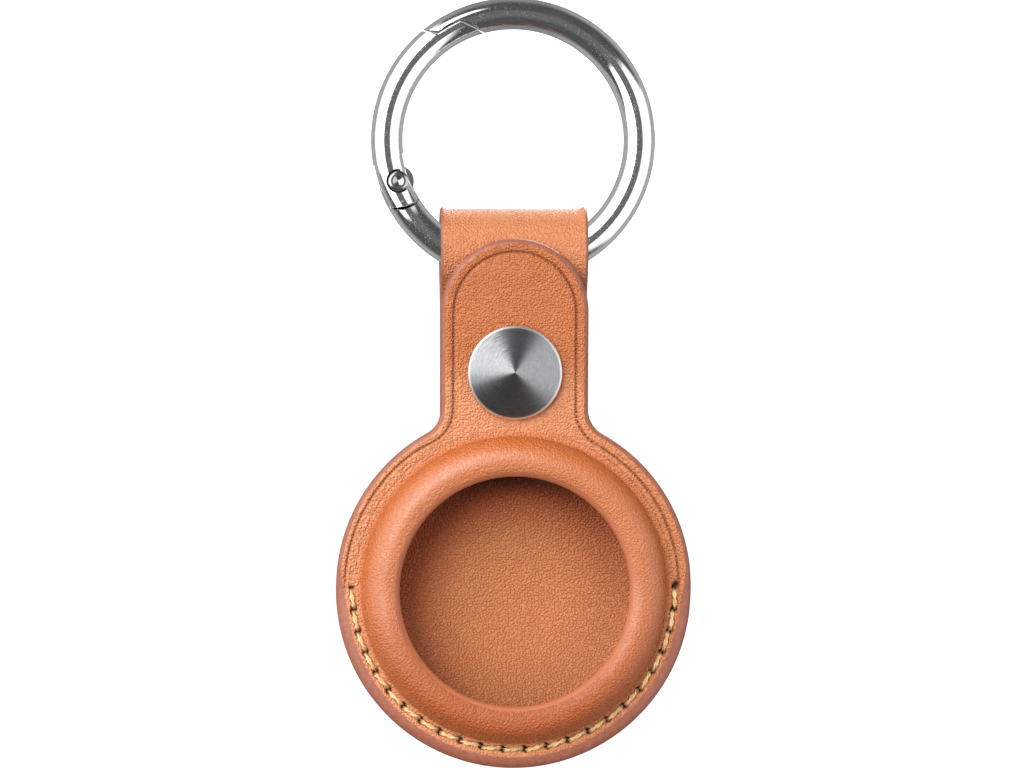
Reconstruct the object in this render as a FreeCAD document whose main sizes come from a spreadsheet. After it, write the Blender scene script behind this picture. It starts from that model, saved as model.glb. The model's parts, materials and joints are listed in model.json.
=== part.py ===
import FreeCAD, Part

import math
import os

import Sketcher

# A leather holder for a round tracker tag, hung from a spring gate ring.
# Millimetres. X runs right, Y runs back, Z runs up, and the ring's centre is the origin.

DRIVING = {
    # the tag that the pocket takes
    "tag_diameter": 31.9,
    "tag_thickness": 8.0,
    "tag_clearance": 0.1,
    "tag_front_reach": 4.8,
    # leather plies
    "front_leather": 1.1,
    "back_leather": 0.9,
    "lining_leather": 0.8,
    # outline of the holder, with drops measured down from the ring's centre
    "rim_width": 2.55,
    "snap_to_body": 4.75,
    "strap_width": 16.3,
    "neck_fillet": 3.0,
    "tongue_drop": 11.18,
    # moulded bead round the window
    "lip_reach": 3.2,
    "bead_height": 3.2,
    "bead_round": 2.85,
    "bead_foot_fillet": 0.3,
    "lip_fillet": 0.4,
    # moulded back
    "dome_margin": 0.92,
    # bend line of the flap
    "bend_gap": 0.16,
    "flap_clearance": 0.25,
    # creased line and edges
    "crease_inset": 1.38,
    "crease_depth": 0.25,
    "edge_round": 0.45,
    # seam
    "seam_from_bead": 0.75,
    "seam_groove": 0.5,
    "thread_radius": 0.25,
    "stitch_count": 23,
    "stitch_share": 0.8,
    # ring and its gate
    "ring_inside": 24.6,
    "ring_wire": 3.5,
    "pivot_angle": 199.8,
    "pivot_inset": 0.45,
    "gate_gap": 0.22,
    "gate_end_radius": 2.95,
    "gate_shoulder_reach": 16.85,
    "gate_tip_reach": 18.95,
    "gate_ease": 0.16,
    "gate_ease_depth": 0.4,
    "lap_offset": 0.35,
    "tab_thickness": 1.2,
    "tab_clearance": 0.1,
    "knuckle_radius": 1.75,
    "rivet_radius": 0.65,
    "rivet_clearance": 0.05,
    "rivet_head_radius": 1.15,
    "rivet_head_gap": 0.18,
    "rivet_head_depth": 0.4,
    "rivet_head_height": 0.3,
    "rivet_dimple": 0.3,
    "rivet_bevel": 0.2,
    "gate_spring_wire": 0.6,
    "gate_spring_seat": 1.1,
    "gate_spring_length": 6.5,
    # strap loop
    "loop_clearance": 0.34,
    "loop_bend": 8.0,
    "loop_glue": 0.1,
    "fold_gap": 0.3,
    # press snap
    "snap_drop": 25.55,
    "cap_radius": 5.2,
    "cap_height": 1.2,
    "cap_sheet": 0.35,
    "cap_lip": 1.2,
    "cap_edge": 0.3,
    "post_radius": 1.6,
    "post_wall": 0.2,
    "post_clearance": 0.05,
    "socket_radius": 4.2,
    "socket_clearance": 0.12,
    "socket_base": 0.25,
    "socket_lip": 0.1,
    "mouth_clearance": 0.45,
    "spring_wire": 0.32,
    "spring_grip": 0.02,
    "spring_room": 0.3,
    "spring_opening": 40.0,
    "stud_radius": 2.3,
    "stud_flat": 1.2,
    "stud_neck": 1.8,
    "stud_flange": 3.2,
    "stud_sheet": 0.25,
    "stud_under": 0.3,
    "snap_clearance": 0.06,
    "eyelet_radius": 1.15,
    "eyelet_flange": 4.0,
    "eyelet_dome": 0.7,
}


class Size:
    """A number that remembers the sheet formula it came from."""

    def __init__(self, value, text):
        self.value = value
        self.text = text

    @staticmethod
    def of(number):
        if isinstance(number, Size):
            return number
        return Size(float(number), "(%r)" % float(number))

    def __add__(self, other):
        other = Size.of(other)
        return Size(self.value + other.value, "(%s + %s)" % (self.text, other.text))

    def __sub__(self, other):
        other = Size.of(other)
        return Size(self.value - other.value, "(%s - %s)" % (self.text, other.text))

    def __mul__(self, other):
        other = Size.of(other)
        return Size(self.value * other.value, "(%s * %s)" % (self.text, other.text))

    def __truediv__(self, other):
        other = Size.of(other)
        return Size(self.value / other.value, "(%s / %s)" % (self.text, other.text))

    def __radd__(self, other):
        return Size.of(other) + self

    def __rsub__(self, other):
        return Size.of(other) - self

    def __rmul__(self, other):
        return Size.of(other) * self

    def __neg__(self):
        return Size(-self.value, "(-%s)" % self.text)


def root(size):
    return Size(math.sqrt(size.value), "sqrt(%s)" % size.text)


def sine(angle):
    return Size(math.sin(math.radians(angle.value)), "sin(%s)" % angle.text)


def cosine(angle):
    return Size(math.cos(math.radians(angle.value)), "cos(%s)" % angle.text)


def arcsine(size):
    return Size(math.degrees(math.asin(size.value)), "asin(%s)" % size.text)


def leg(long_side, short_side):
    """The other short side of a right triangle."""
    return root(long_side * long_side - short_side * short_side)


def hypotenuse(one, two):
    return root(one * one + two * two)


ZERO = Size.of(0.0)
Vector = FreeCAD.Vector
doc = FreeCAD.newDocument("TagHolder")
sheet = doc.addObject("Spreadsheet::Sheet", "Sizes")
sizes = {}
for row, (alias, number) in enumerate(DRIVING.items(), start=1):
    sheet.set("A%d" % row, alias.replace("_", " "))
    sheet.set("B%d" % row, str(number))
    sheet.setAlias("B%d" % row, alias)
doc.recompute()
for alias in DRIVING:
    sizes[alias] = Size(float(sheet.get(alias)), "Sizes.%s" % alias)


# Sketch and feature helpers


def new_body(label):
    body = doc.addObject("PartDesign::Body", label)
    body.Label = label
    return body


def new_sketch(body, name, role, offset=ZERO):
    """A sketch on one of the body's own planes, moved along that plane's normal."""
    sketch = body.newObject("Sketcher::SketchObject", name)
    plane = [feature for feature in body.Origin.OriginFeatures if feature.Role == role][0]
    sketch.AttachmentSupport = (plane, [""])
    sketch.MapMode = "FlatFace"
    sketch.AttachmentOffset = FreeCAD.Placement(Vector(0, 0, offset.value), FreeCAD.Rotation())
    sketch.setExpression("AttachmentOffset.Base.z", offset.text)
    return sketch


def pin(sketch, geometry, point, direction, size):
    """Hold one coordinate of a sketch point at a size from the sheet."""
    if abs(size.value) < 1e-9:
        axis = -2 if direction == "DistanceX" else -1
        sketch.addConstraint(Sketcher.Constraint("PointOnObject", geometry, point, axis))
        return
    index = sketch.addConstraint(Sketcher.Constraint(direction, -1, 1, geometry, point, size.value))
    sketch.setExpression("Constraints[%d]" % index, size.text)


def line_from(across, up):
    return (across, up, None, None, 0)


def arc_from(across, up, centre_across, centre_up, turn):
    """An arc that starts here; turn is 1 for anticlockwise and -1 for clockwise."""
    return (across, up, centre_across, centre_up, turn)


def draw(sketch, steps, closed=True):
    """Draw an outline; each step starts a line or an arc that ends where the next one starts."""
    starts = []
    ends = []
    count = len(steps) if closed else len(steps) - 1
    for number in range(count):
        step = steps[number]
        following = steps[(number + 1) % len(steps)]
        start = Vector(step[0].value, step[1].value, 0)
        end = Vector(following[0].value, following[1].value, 0)
        if step[4] == 0:
            geometry = sketch.addGeometry(Part.LineSegment(start, end), False)
            starts.append((geometry, 1))
            ends.append((geometry, 2))
            continue
        centre = Vector(step[2].value, step[3].value, 0)
        first, last = (start, end) if step[4] > 0 else (end, start)
        first_angle = math.atan2(first.y - centre.y, first.x - centre.x)
        last_angle = math.atan2(last.y - centre.y, last.x - centre.x)
        if last_angle <= first_angle:
            last_angle += 2 * math.pi
        circle = Part.Circle(centre, Vector(0, 0, 1), first.distanceToPoint(centre))
        geometry = sketch.addGeometry(Part.ArcOfCircle(circle, first_angle, last_angle), False)
        starts.append((geometry, 1 if step[4] > 0 else 2))
        ends.append((geometry, 2 if step[4] > 0 else 1))
    for number in range(count if closed else count - 1):
        joined = starts[(number + 1) % count]
        sketch.addConstraint(Sketcher.Constraint("Coincident", *ends[number], *joined))
    for number in range(count):
        step = steps[number]
        following = steps[(number + 1) % len(steps)]
        pin(sketch, *starts[number], "DistanceX", step[0])
        pin(sketch, *starts[number], "DistanceY", step[1])
        if step[4] == 0:
            continue
        chord_across = abs(following[0].value - step[0].value)
        chord_up = abs(following[1].value - step[1].value)
        if chord_across >= chord_up:
            pin(sketch, starts[number][0], 3, "DistanceY", step[3])
        else:
            pin(sketch, starts[number][0], 3, "DistanceX", step[2])
    if not closed:
        pin(sketch, *ends[-1], "DistanceX", steps[-1][0])
        pin(sketch, *ends[-1], "DistanceY", steps[-1][1])


def draw_groove(sketch, across, up, depth):
    """A square on its corner, whose lower half cuts a groove into a face at this height."""
    draw(sketch, [
        line_from(across - depth, up),
        line_from(across, up - depth),
        line_from(across + depth, up),
        line_from(across, up + depth),
    ])


def draw_circle(sketch, across, up, radius):
    circle = Part.Circle(Vector(across.value, up.value, 0), Vector(0, 0, 1), radius.value)
    geometry = sketch.addGeometry(circle, False)
    pin(sketch, geometry, 3, "DistanceX", across)
    pin(sketch, geometry, 3, "DistanceY", up)
    index = sketch.addConstraint(Sketcher.Constraint("Radius", geometry, radius.value))
    sketch.setExpression("Constraints[%d]" % index, radius.text)


def pad(body, name, sketch, length, midplane=False):
    feature = body.newObject("PartDesign::Pad", name)
    feature.Profile = sketch
    feature.Length = length.value
    feature.setExpression("Length", length.text)
    feature.Midplane = midplane
    sketch.Visibility = False
    return feature


def pocket_through(body, name, sketch):
    feature = body.newObject("PartDesign::Pocket", name)
    feature.Profile = sketch
    feature.Type = "ThroughAll"
    feature.Midplane = True
    return feature


def turn(body, name, sketch, angle=360.0, reverse=False, cut=False):
    """Revolve a sketch about its own vertical axis, adding or cutting."""
    kind = "PartDesign::Groove" if cut else "PartDesign::Revolution"
    feature = body.newObject(kind, name)
    feature.Profile = sketch
    feature.ReferenceAxis = (sketch, ["V_Axis"])
    feature.Angle = angle
    feature.Reversed = reverse
    return feature


def round_edges(body, name, radius, wanted):
    """Fillet each edge of the body so far that the test picks."""
    doc.recompute()
    base = body.Tip
    names = []
    for number, edge in enumerate(base.Shape.Edges, start=1):
        if wanted(edge):
            names.append("Edge%d" % number)
    if not names:
        raise RuntimeError("no edge found for " + name)
    feature = body.newObject("PartDesign::Fillet", name)
    feature.Base = (base, names)
    feature.Radius = radius.value
    feature.setExpression("Radius", radius.text)
    return feature


def on_circle(edge, radius, height):
    """True for a round edge about the body's Y axis at this radius and this place along Y."""
    if not isinstance(edge.Curve, Part.Circle):
        return False
    curve = edge.Curve
    if abs(abs(curve.Axis.y) - 1) > 1e-6 or abs(curve.Center.x) > 1e-6:
        return False
    return abs(curve.Radius - radius.value) < 1e-4 and abs(curve.Center.y - height.value) < 1e-4


def turned_piece(label, steps):
    """A piece turned about the Y axis; steps are (radius, place along Y)."""
    body = new_body(label)
    sketch = new_sketch(body, label + "_section", "XY_Plane")
    draw(sketch, steps)
    turn(body, label + "_turned", sketch)
    return body


# Places and sizes that follow from the sheet

half_strap = sizes["strap_width"] / 2
tag_radius = sizes["tag_diameter"] / 2
front_back_face = -sizes["lining_leather"]
front_face = front_back_face - sizes["front_leather"]
bead_inner = tag_radius + sizes["tag_clearance"]
bead_outer = bead_inner + sizes["front_leather"]
bead_crest = front_face - sizes["bead_height"]
window_radius = bead_inner - sizes["lip_reach"]
body_radius = bead_outer + sizes["rim_width"]
body_drop = sizes["snap_drop"] + sizes["snap_to_body"] + body_radius
seam_radius = bead_outer + sizes["seam_from_bead"]
half_bend_gap = sizes["bend_gap"] / 2

ring_inner = sizes["ring_inside"] / 2
wire_radius = sizes["ring_wire"] / 2
ring_middle = ring_inner + wire_radius
ring_outer = ring_inner + sizes["ring_wire"]

# The loop turns about a line halfway between the highest and lowest wire inside the strap.
wire_top = -leg(ring_inner, half_strap + sizes["loop_clearance"])
swing_drop = (ring_outer - wire_top) / 2
swept_radius = (ring_outer + wire_top) / 2
loop_inner = swept_radius + sizes["loop_clearance"]
loop_outer = loop_inner + sizes["back_leather"]
loop_middle = -sizes["loop_glue"] / 2

# The flap leans forward until its tongue clears the loop.
hinge_front = bead_crest
tongue_offset = front_back_face - hinge_front
lean_rise = body_drop - swing_drop
lean_depth = loop_middle - hinge_front
lean_reach = hypotenuse(lean_rise, lean_depth)
lean_total = arcsine((tongue_offset + loop_outer + sizes["flap_clearance"]) / lean_reach)
flap_lean = lean_total - arcsine(lean_depth / lean_reach)

# The snap's socket stands where the leaning tongue meets the stud, and each gap allows for the lean.
tilt = sine(flap_lean) / cosine(flap_lean)
strap_front = -(sizes["loop_glue"] + sizes["back_leather"])
snap_rise = body_drop - sizes["snap_drop"]
tongue_at_snap = hinge_front + (tongue_offset - snap_rise * sine(flap_lean)) / cosine(flap_lean)
snap_space = strap_front - tongue_at_snap
post_end = sizes["socket_base"] + sizes["post_wall"]
post_bore = sizes["post_radius"] - sizes["post_wall"]
stud_top = strap_front - snap_space + post_end + post_bore * tilt + sizes["snap_clearance"]
socket_gap = sizes["stud_sheet"] + sizes["stud_flange"] * tilt + sizes["socket_clearance"]
spring_inner = sizes["stud_radius"] - sizes["spring_grip"]
spring_reach = socket_gap + sizes["socket_lip"] + sizes["spring_wire"]
stud_belly = strap_front - spring_reach - spring_inner * tilt - sizes["snap_clearance"]
belly_reach = stud_belly - hinge_front
snap_local_rise = snap_rise * cosine(flap_lean) - belly_reach * sine(flap_lean)

holder_place = FreeCAD.Placement(Vector(0, 0, -body_drop.value), FreeCAD.Rotation())
flap_turn = FreeCAD.Placement(
    Vector(0, 0, 0),
    FreeCAD.Rotation(Vector(1, 0, 0), flap_lean.value),
    Vector(0, hinge_front.value, 0),
)
flap_place = holder_place.multiply(flap_turn)
cap_place = flap_place.multiply(FreeCAD.Placement(Vector(0, 0, snap_local_rise.value), FreeCAD.Rotation()))
stud_place = FreeCAD.Placement(Vector(0, 0, -sizes["snap_drop"].value), FreeCAD.Rotation())


# Front leather: one moulded piece, in two nodes that meet at the bend line

bead_middle = bead_outer - sizes["bead_round"]
bead_depth = bead_crest + sizes["bead_round"]
bead_hollow = sizes["bead_round"] - sizes["front_leather"]
lip_front = bead_depth - leg(sizes["bead_round"], bead_middle - window_radius)
lip_back = bead_depth - leg(bead_hollow, bead_middle - window_radius)
bead_section = [
    arc_from(window_radius, lip_front, bead_middle, bead_depth, 1),
    line_from(bead_outer, bead_depth),
    line_from(bead_outer, front_back_face),
    line_from(bead_inner, front_back_face),
    arc_from(bead_inner, bead_depth, bead_middle, bead_depth, -1),
    line_from(window_radius, lip_back),
]
wall_middle = (bead_inner + bead_outer) / 2


def half_rim(radius):
    """Half-width of a circle where the bend gap cuts it."""
    return leg(radius, half_bend_gap)


def add_bead(body, upper):
    """The bead's half turn, its foot and its lip."""
    place = half_bend_gap if upper else -half_bend_gap
    sketch = new_sketch(body, body.Label + "_bead_section", "XY_Plane", place)
    draw(sketch, bead_section)
    turn(body, body.Label + "_bead", sketch, 180.0, reverse=upper)
    round_edges(body, body.Label + "_foot", sizes["bead_foot_fillet"],
                lambda edge: on_circle(edge, bead_outer, front_face))
    round_edges(body, body.Label + "_lip", sizes["lip_fillet"],
                lambda edge: on_circle(edge, window_radius, lip_front))


front_panel = new_body("front_panel")
rim = new_sketch(front_panel, "front_panel_rim", "XZ_Plane", -front_back_face)
draw(rim, [
    arc_from(-half_rim(body_radius), -half_bend_gap, ZERO, ZERO, 1),
    line_from(half_rim(body_radius), -half_bend_gap),
    arc_from(half_rim(wall_middle), -half_bend_gap, ZERO, ZERO, -1),
    line_from(-half_rim(wall_middle), -half_bend_gap),
])
pad(front_panel, "front_panel_rim_pad", rim, sizes["front_leather"])
round_edges(front_panel, "front_panel_edge", sizes["edge_round"],
            lambda edge: on_circle(edge, body_radius, front_face))
add_bead(front_panel, upper=False)
groove = new_sketch(front_panel, "front_panel_seam_section", "XY_Plane", -half_bend_gap)
draw_groove(groove, seam_radius, front_face, sizes["seam_groove"])
turn(front_panel, "front_panel_seam", groove, 180.0, cut=True)
front_panel.Placement = holder_place

front_flap = new_body("front_flap")
fillet_across = half_strap + sizes["neck_fillet"]
fillet_up = leg(body_radius + sizes["neck_fillet"], fillet_across)
tongue_depth = front_face - hinge_front
tongue_rise = body_drop - sizes["tongue_drop"]
tongue_top = (tongue_rise - tongue_depth * sine(flap_lean)) / cosine(flap_lean)


def flap_side(inset):
    """Right side of the flap's outline, from the bend line to the tongue's round top."""
    disc = body_radius - inset
    bend = sizes["neck_fillet"] + inset
    half = half_strap - inset
    share = disc / (disc + bend)
    return [
        arc_from(half_rim(disc), half_bend_gap, ZERO, ZERO, 1),
        arc_from(fillet_across * share, fillet_up * share, fillet_across, fillet_up, -1),
        line_from(half, fillet_up),
        arc_from(half, tongue_top - half_strap, ZERO, tongue_top - half_strap, 1),
    ]


def flap_other_side(inset):
    """Left side of the same outline, from the tongue's round top down to the bend line."""
    disc = body_radius - inset
    bend = sizes["neck_fillet"] + inset
    half = half_strap - inset
    share = disc / (disc + bend)
    return [
        line_from(-half, tongue_top - half_strap),
        arc_from(-half, fillet_up, -fillet_across, fillet_up, -1),
        arc_from(-fillet_across * share, fillet_up * share, ZERO, ZERO, 1),
        line_from(-half_rim(disc), half_bend_gap),
    ]


outline = new_sketch(front_flap, "front_flap_outline", "XZ_Plane", -front_back_face)
draw(outline, flap_side(ZERO) + flap_other_side(ZERO) + [
    arc_from(-half_rim(wall_middle), half_bend_gap, ZERO, ZERO, -1),
    line_from(half_rim(wall_middle), half_bend_gap),
])
pad(front_flap, "front_flap_pad", outline, sizes["front_leather"])


def flap_front_edge(edge):
    """True for the outer edges of the flap's front face."""
    middle = edge.valueAt((edge.FirstParameter + edge.LastParameter) / 2)
    if abs(middle.y - front_face.value) > 1e-4 or abs(edge.Vertexes[0].Y - front_face.value) > 1e-4:
        return False
    if abs(edge.Vertexes[-1].Y - front_face.value) > 1e-4 or abs(middle.z - half_bend_gap.value) < 1e-4:
        return False
    return not on_circle(edge, wall_middle, front_face)


round_edges(front_flap, "front_flap_edge", sizes["edge_round"], flap_front_edge)
add_bead(front_flap, upper=True)
crease_path = new_sketch(front_flap, "front_flap_crease_path", "XZ_Plane", -front_face)
draw(crease_path, flap_side(sizes["crease_inset"]) + flap_other_side(sizes["crease_inset"]), closed=False)
crease_section = new_sketch(front_flap, "front_flap_crease_section", "XY_Plane", half_bend_gap)
draw_groove(crease_section, half_rim(body_radius - sizes["crease_inset"]), front_face, sizes["crease_depth"])
crease = front_flap.newObject("PartDesign::SubtractivePipe", "front_flap_crease")
crease.Profile = crease_section
crease.Spine = (crease_path, ["Edge%d" % number for number in range(1, 8)])
hole = new_sketch(front_flap, "front_flap_snap_hole", "XZ_Plane")
draw_circle(hole, ZERO, snap_local_rise, sizes["post_radius"] + sizes["post_clearance"])
pocket_through(front_flap, "front_flap_snap_cut", hole)
front_flap.Placement = flap_place


# Pocket lining and moulded back with its strap loop

pocket_floor = sizes["tag_thickness"] - sizes["tag_front_reach"]
dome_depth = pocket_floor - front_back_face
dome_edge = bead_inner + sizes["dome_margin"]
dome_radius = (dome_edge * dome_edge + dome_depth * dome_depth) / (dome_depth * 2)
dome_centre = pocket_floor - dome_radius
lining_outer = dome_radius + sizes["lining_leather"]
back_outer = lining_outer + sizes["back_leather"]
back_floor = pocket_floor + sizes["lining_leather"]
back_face = sizes["back_leather"]


def dished_disc(body, inner_radius, outer_radius, front, back, floor, thickness):
    """A disc with a domed middle, turned about the body's Y axis."""
    sketch = new_sketch(body, body.Label + "_section", "XY_Plane")
    draw(sketch, [
        arc_from(ZERO, floor, ZERO, dome_centre, -1),
        line_from(leg(inner_radius, front - dome_centre), front),
        line_from(body_radius, front),
        line_from(body_radius, back),
        arc_from(leg(outer_radius, back - dome_centre), back, ZERO, dome_centre, 1),
        line_from(ZERO, floor + thickness),
    ])
    turn(body, body.Label + "_dome", sketch)


pocket_lining = new_body("pocket_lining")
dished_disc(pocket_lining, dome_radius, lining_outer, front_back_face, ZERO,
            pocket_floor, sizes["lining_leather"])
pocket_lining.Placement = holder_place

back_panel = new_body("back_panel")
dished_disc(back_panel, lining_outer, back_outer, ZERO, back_face, back_floor, sizes["back_leather"])
rim_seat = (leg(back_outer, back_face - dome_centre) + body_radius) / 2
neck_share = body_radius / (body_radius + sizes["neck_fillet"])
seat_share = rim_seat / (body_radius + sizes["neck_fillet"])
neck = new_sketch(back_panel, "back_panel_neck", "XZ_Plane")
draw(neck, [
    line_from(fillet_across * seat_share, fillet_up * seat_share),
    arc_from(fillet_across * neck_share, fillet_up * neck_share, fillet_across, fillet_up, -1),
    line_from(half_strap, fillet_up),
    arc_from(-half_strap, fillet_up, -fillet_across, fillet_up, -1),
    line_from(-fillet_across * neck_share, fillet_up * neck_share),
    arc_from(-fillet_across * seat_share, fillet_up * seat_share, ZERO, ZERO, -1),
])
neck_pad = pad(back_panel, "back_panel_neck_pad", neck, back_face)
neck_pad.Reversed = True

glue = sizes["loop_glue"]
strap = sizes["back_leather"]
axis_up = body_drop - swing_drop
bend_across = glue / 2 + strap / 2 + sizes["loop_bend"]
centre_span = sizes["loop_bend"] + loop_inner + strap / 2
bend_up = axis_up - leg(centre_span, bend_across)
lean_across = bend_across / centre_span
lean_up = (bend_up - axis_up) / centre_span
fold_end = body_radius + sizes["fold_gap"]
loop_sketch = new_sketch(back_panel, "back_panel_loop_section", "YZ_Plane")
front_bend = loop_middle - bend_across
back_bend = loop_middle + bend_across
outer_tangent = axis_up + loop_outer * lean_up
inner_tangent = axis_up + loop_inner * lean_up
draw(loop_sketch, [
    line_from(strap, fillet_up),
    arc_from(strap, bend_up, back_bend, bend_up, -1),
    arc_from(loop_middle + loop_outer * lean_across, outer_tangent, loop_middle, axis_up, 1),
    arc_from(loop_middle - loop_outer * lean_across, outer_tangent, front_bend, bend_up, -1),
    line_from(strap_front, bend_up),
    line_from(strap_front, fold_end),
    line_from(-glue, fold_end),
    arc_from(-glue, bend_up, front_bend, bend_up, 1),
    arc_from(loop_middle - loop_inner * lean_across, inner_tangent, loop_middle, axis_up, -1),
    arc_from(loop_middle + loop_inner * lean_across, inner_tangent, back_bend, bend_up, 1),
    line_from(ZERO, bend_up),
    line_from(ZERO, fillet_up),
])
pad(back_panel, "back_panel_loop", loop_sketch, sizes["strap_width"], midplane=True)
back_hole = new_sketch(back_panel, "back_panel_snap_hole", "XZ_Plane")
draw_circle(back_hole, ZERO, snap_rise, sizes["eyelet_radius"] + sizes["post_clearance"])
pocket_through(back_panel, "back_panel_snap_cut", back_hole)
back_groove = new_sketch(back_panel, "back_panel_seam_section", "XY_Plane")
draw_groove(back_groove, seam_radius, back_face, sizes["seam_groove"])
turn(back_panel, "back_panel_seam", back_groove, 180.0, cut=True)
back_panel.Placement = holder_place


# Seam threads: the runs that show on each side, between the stitch holes

THREAD_SIDES = 6


def stitches(label, depth):
    """A group of straight six-sided thread runs round the lower half of the rim."""
    count = int(sizes["stitch_count"].value)
    step = math.pi / count
    radius = seam_radius.value
    length = 2 * radius * math.sin(step / 2) * sizes["stitch_share"].value
    runs = []
    for number in range(count):
        angle = math.pi + (number + 0.5) * step
        along = Vector(-math.sin(angle), 0, math.cos(angle))
        outward = Vector(math.cos(angle), 0, math.sin(angle))
        middle = outward * radius + Vector(0, depth.value, 0)
        corners = []
        for corner in range(THREAD_SIDES + 1):
            turned = 2 * math.pi * corner / THREAD_SIDES
            spoke = outward * math.cos(turned) + Vector(0, math.sin(turned), 0)
            corners.append(middle - along * (length / 2) + spoke * sizes["thread_radius"].value)
        section = Part.Face(Part.makePolygon(corners))
        runs.append(section.extrude(along * length))
    feature = doc.addObject("Part::Feature", label)
    feature.Label = label
    feature.Shape = Part.makeCompound(runs)
    feature.Placement = holder_place
    return feature


seam_needle_thread = stitches("seam_needle_thread", front_face)
seam_bobbin_thread = stitches("seam_bobbin_thread", back_face)


# Press snap: cap, post, socket and spring ring ride on the tongue

cap_radius = sizes["cap_radius"]
sheet_metal = sizes["cap_sheet"]
cap_top = front_face - sizes["cap_height"]
cap_bottom = front_face
cap_edge = sizes["cap_edge"]
cap_inside = cap_radius - sheet_metal
snap_cap = turned_piece("snap_cap", [
    line_from(ZERO, cap_top),
    arc_from(cap_radius - cap_edge, cap_top, cap_radius - cap_edge, cap_top + cap_edge, 1),
    line_from(cap_radius, cap_top + cap_edge),
    line_from(cap_radius, cap_bottom),
    line_from(cap_radius - sizes["cap_lip"], cap_bottom),
    line_from(cap_radius - sizes["cap_lip"], cap_bottom - sheet_metal),
    line_from(cap_inside, cap_bottom - sheet_metal),
    line_from(cap_inside, cap_top + sheet_metal),
    line_from(ZERO, cap_top + sheet_metal),
])

post_radius = sizes["post_radius"]
post_seat = cap_bottom - sheet_metal
socket_seat = front_back_face + sizes["socket_base"]
snap_cap_post = turned_piece("snap_cap_post", [
    line_from(post_bore, post_seat - sizes["post_wall"]),
    line_from(cap_inside - sizes["post_clearance"], post_seat - sizes["post_wall"]),
    line_from(cap_inside - sizes["post_clearance"], post_seat),
    line_from(post_radius, post_seat),
    line_from(post_radius, socket_seat),
    line_from(post_radius + sizes["post_wall"], socket_seat),
    line_from(post_radius + sizes["post_wall"], socket_seat + sizes["post_wall"]),
    line_from(post_bore, socket_seat + sizes["post_wall"]),
])

spring_outer = spring_inner + sizes["spring_wire"]
cavity = spring_outer + sizes["spring_room"]
mouth = sizes["stud_radius"] + sizes["mouth_clearance"]
socket_rear = front_back_face + snap_space - socket_gap
lip_seat = socket_rear - sizes["socket_lip"]
snap_socket = turned_piece("snap_socket", [
    line_from(post_radius + sizes["post_clearance"], front_back_face),
    line_from(sizes["socket_radius"], front_back_face),
    line_from(sizes["socket_radius"], socket_rear),
    line_from(mouth, socket_rear),
    line_from(mouth, lip_seat),
    line_from(cavity, lip_seat),
    line_from(cavity, socket_seat),
    line_from(post_radius + sizes["post_clearance"], socket_seat),
])

snap_spring = new_body("snap_spring")
spring_section = new_sketch(snap_spring, "snap_spring_section", "XY_Plane")
draw(spring_section, [
    line_from(spring_inner, lip_seat - sizes["spring_wire"]),
    line_from(spring_outer, lip_seat - sizes["spring_wire"]),
    line_from(spring_outer, lip_seat),
    line_from(spring_inner, lip_seat),
])
spring_turn = turn(snap_spring, "snap_spring_turned", spring_section)
spring_turn.setExpression("Angle", (360 - sizes["spring_opening"]).text)
for piece in (snap_cap, snap_cap_post, snap_socket, snap_spring):
    piece.Placement = cap_place

# The stud and its eyelet clamp the folded end of the strap to the back leather.
stud_sheet = sizes["stud_sheet"]
stud_hole = sizes["eyelet_radius"] + sizes["post_clearance"]
stud_bore = sizes["stud_neck"] - stud_sheet
stud_waist = stud_belly + sizes["stud_under"]
snap_stud = turned_piece("snap_stud", [
    line_from(ZERO, stud_top),
    line_from(sizes["stud_flat"], stud_top),
    line_from(sizes["stud_radius"], stud_belly),
    line_from(sizes["stud_neck"], stud_waist),
    line_from(sizes["stud_neck"], strap_front - stud_sheet),
    line_from(sizes["stud_flange"], strap_front - stud_sheet),
    line_from(sizes["stud_flange"], strap_front),
    line_from(stud_hole, strap_front),
    line_from(stud_hole, strap_front - stud_sheet),
    line_from(stud_bore, strap_front - stud_sheet),
    line_from(stud_bore, stud_belly + stud_sheet),
    line_from(sizes["stud_flat"], stud_top + stud_sheet),
    line_from(ZERO, stud_top + stud_sheet),
])

eyelet_bore = sizes["eyelet_radius"] - stud_sheet
eyelet_rear = back_face + sizes["eyelet_dome"]
eyelet_end = strap_front - stud_sheet * 2
snap_stud_post = turned_piece("snap_stud_post", [
    line_from(eyelet_bore, eyelet_end),
    line_from(stud_bore - sizes["post_clearance"], eyelet_end),
    line_from(stud_bore - sizes["post_clearance"], strap_front - stud_sheet),
    line_from(sizes["eyelet_radius"], strap_front - stud_sheet),
    line_from(sizes["eyelet_radius"], back_face),
    line_from(sizes["eyelet_flange"], back_face),
    line_from(sizes["eyelet_flange"], back_face + stud_sheet),
    line_from(sizes["eyelet_radius"], eyelet_rear),
    line_from(ZERO, eyelet_rear),
    line_from(ZERO, back_face),
    line_from(eyelet_bore, back_face),
])
snap_stud.Placement = stud_place
snap_stud_post.Placement = stud_place


# Spring gate ring: frame, gate, rivet and the gate's spring

pivot_reach = ring_middle - sizes["pivot_inset"]
pivot_across = pivot_reach * cosine(sizes["pivot_angle"])
pivot_up = pivot_reach * sine(sizes["pivot_angle"])
block = sizes["ring_wire"] * 2


def arc_degrees(length):
    """Angle that a length takes along the ring's middle line."""
    return length / ring_middle * (180 / math.pi)


def ring_piece(name, wire, start, sweep):
    """Part of a ring of round wire about the origin; angles run from +X towards +Z."""
    torus = doc.addObject("Part::Torus", name)
    torus.setExpression("Radius1", ring_middle.text)
    torus.setExpression("Radius2", wire.text)
    torus.setExpression("Angle3", sweep.text)
    flat = FreeCAD.Rotation(Vector(1, 0, 0), 90)
    torus.Placement = FreeCAD.Placement(Vector(), flat * FreeCAD.Rotation(Vector(0, 0, 1), start.value))
    return torus


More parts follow.
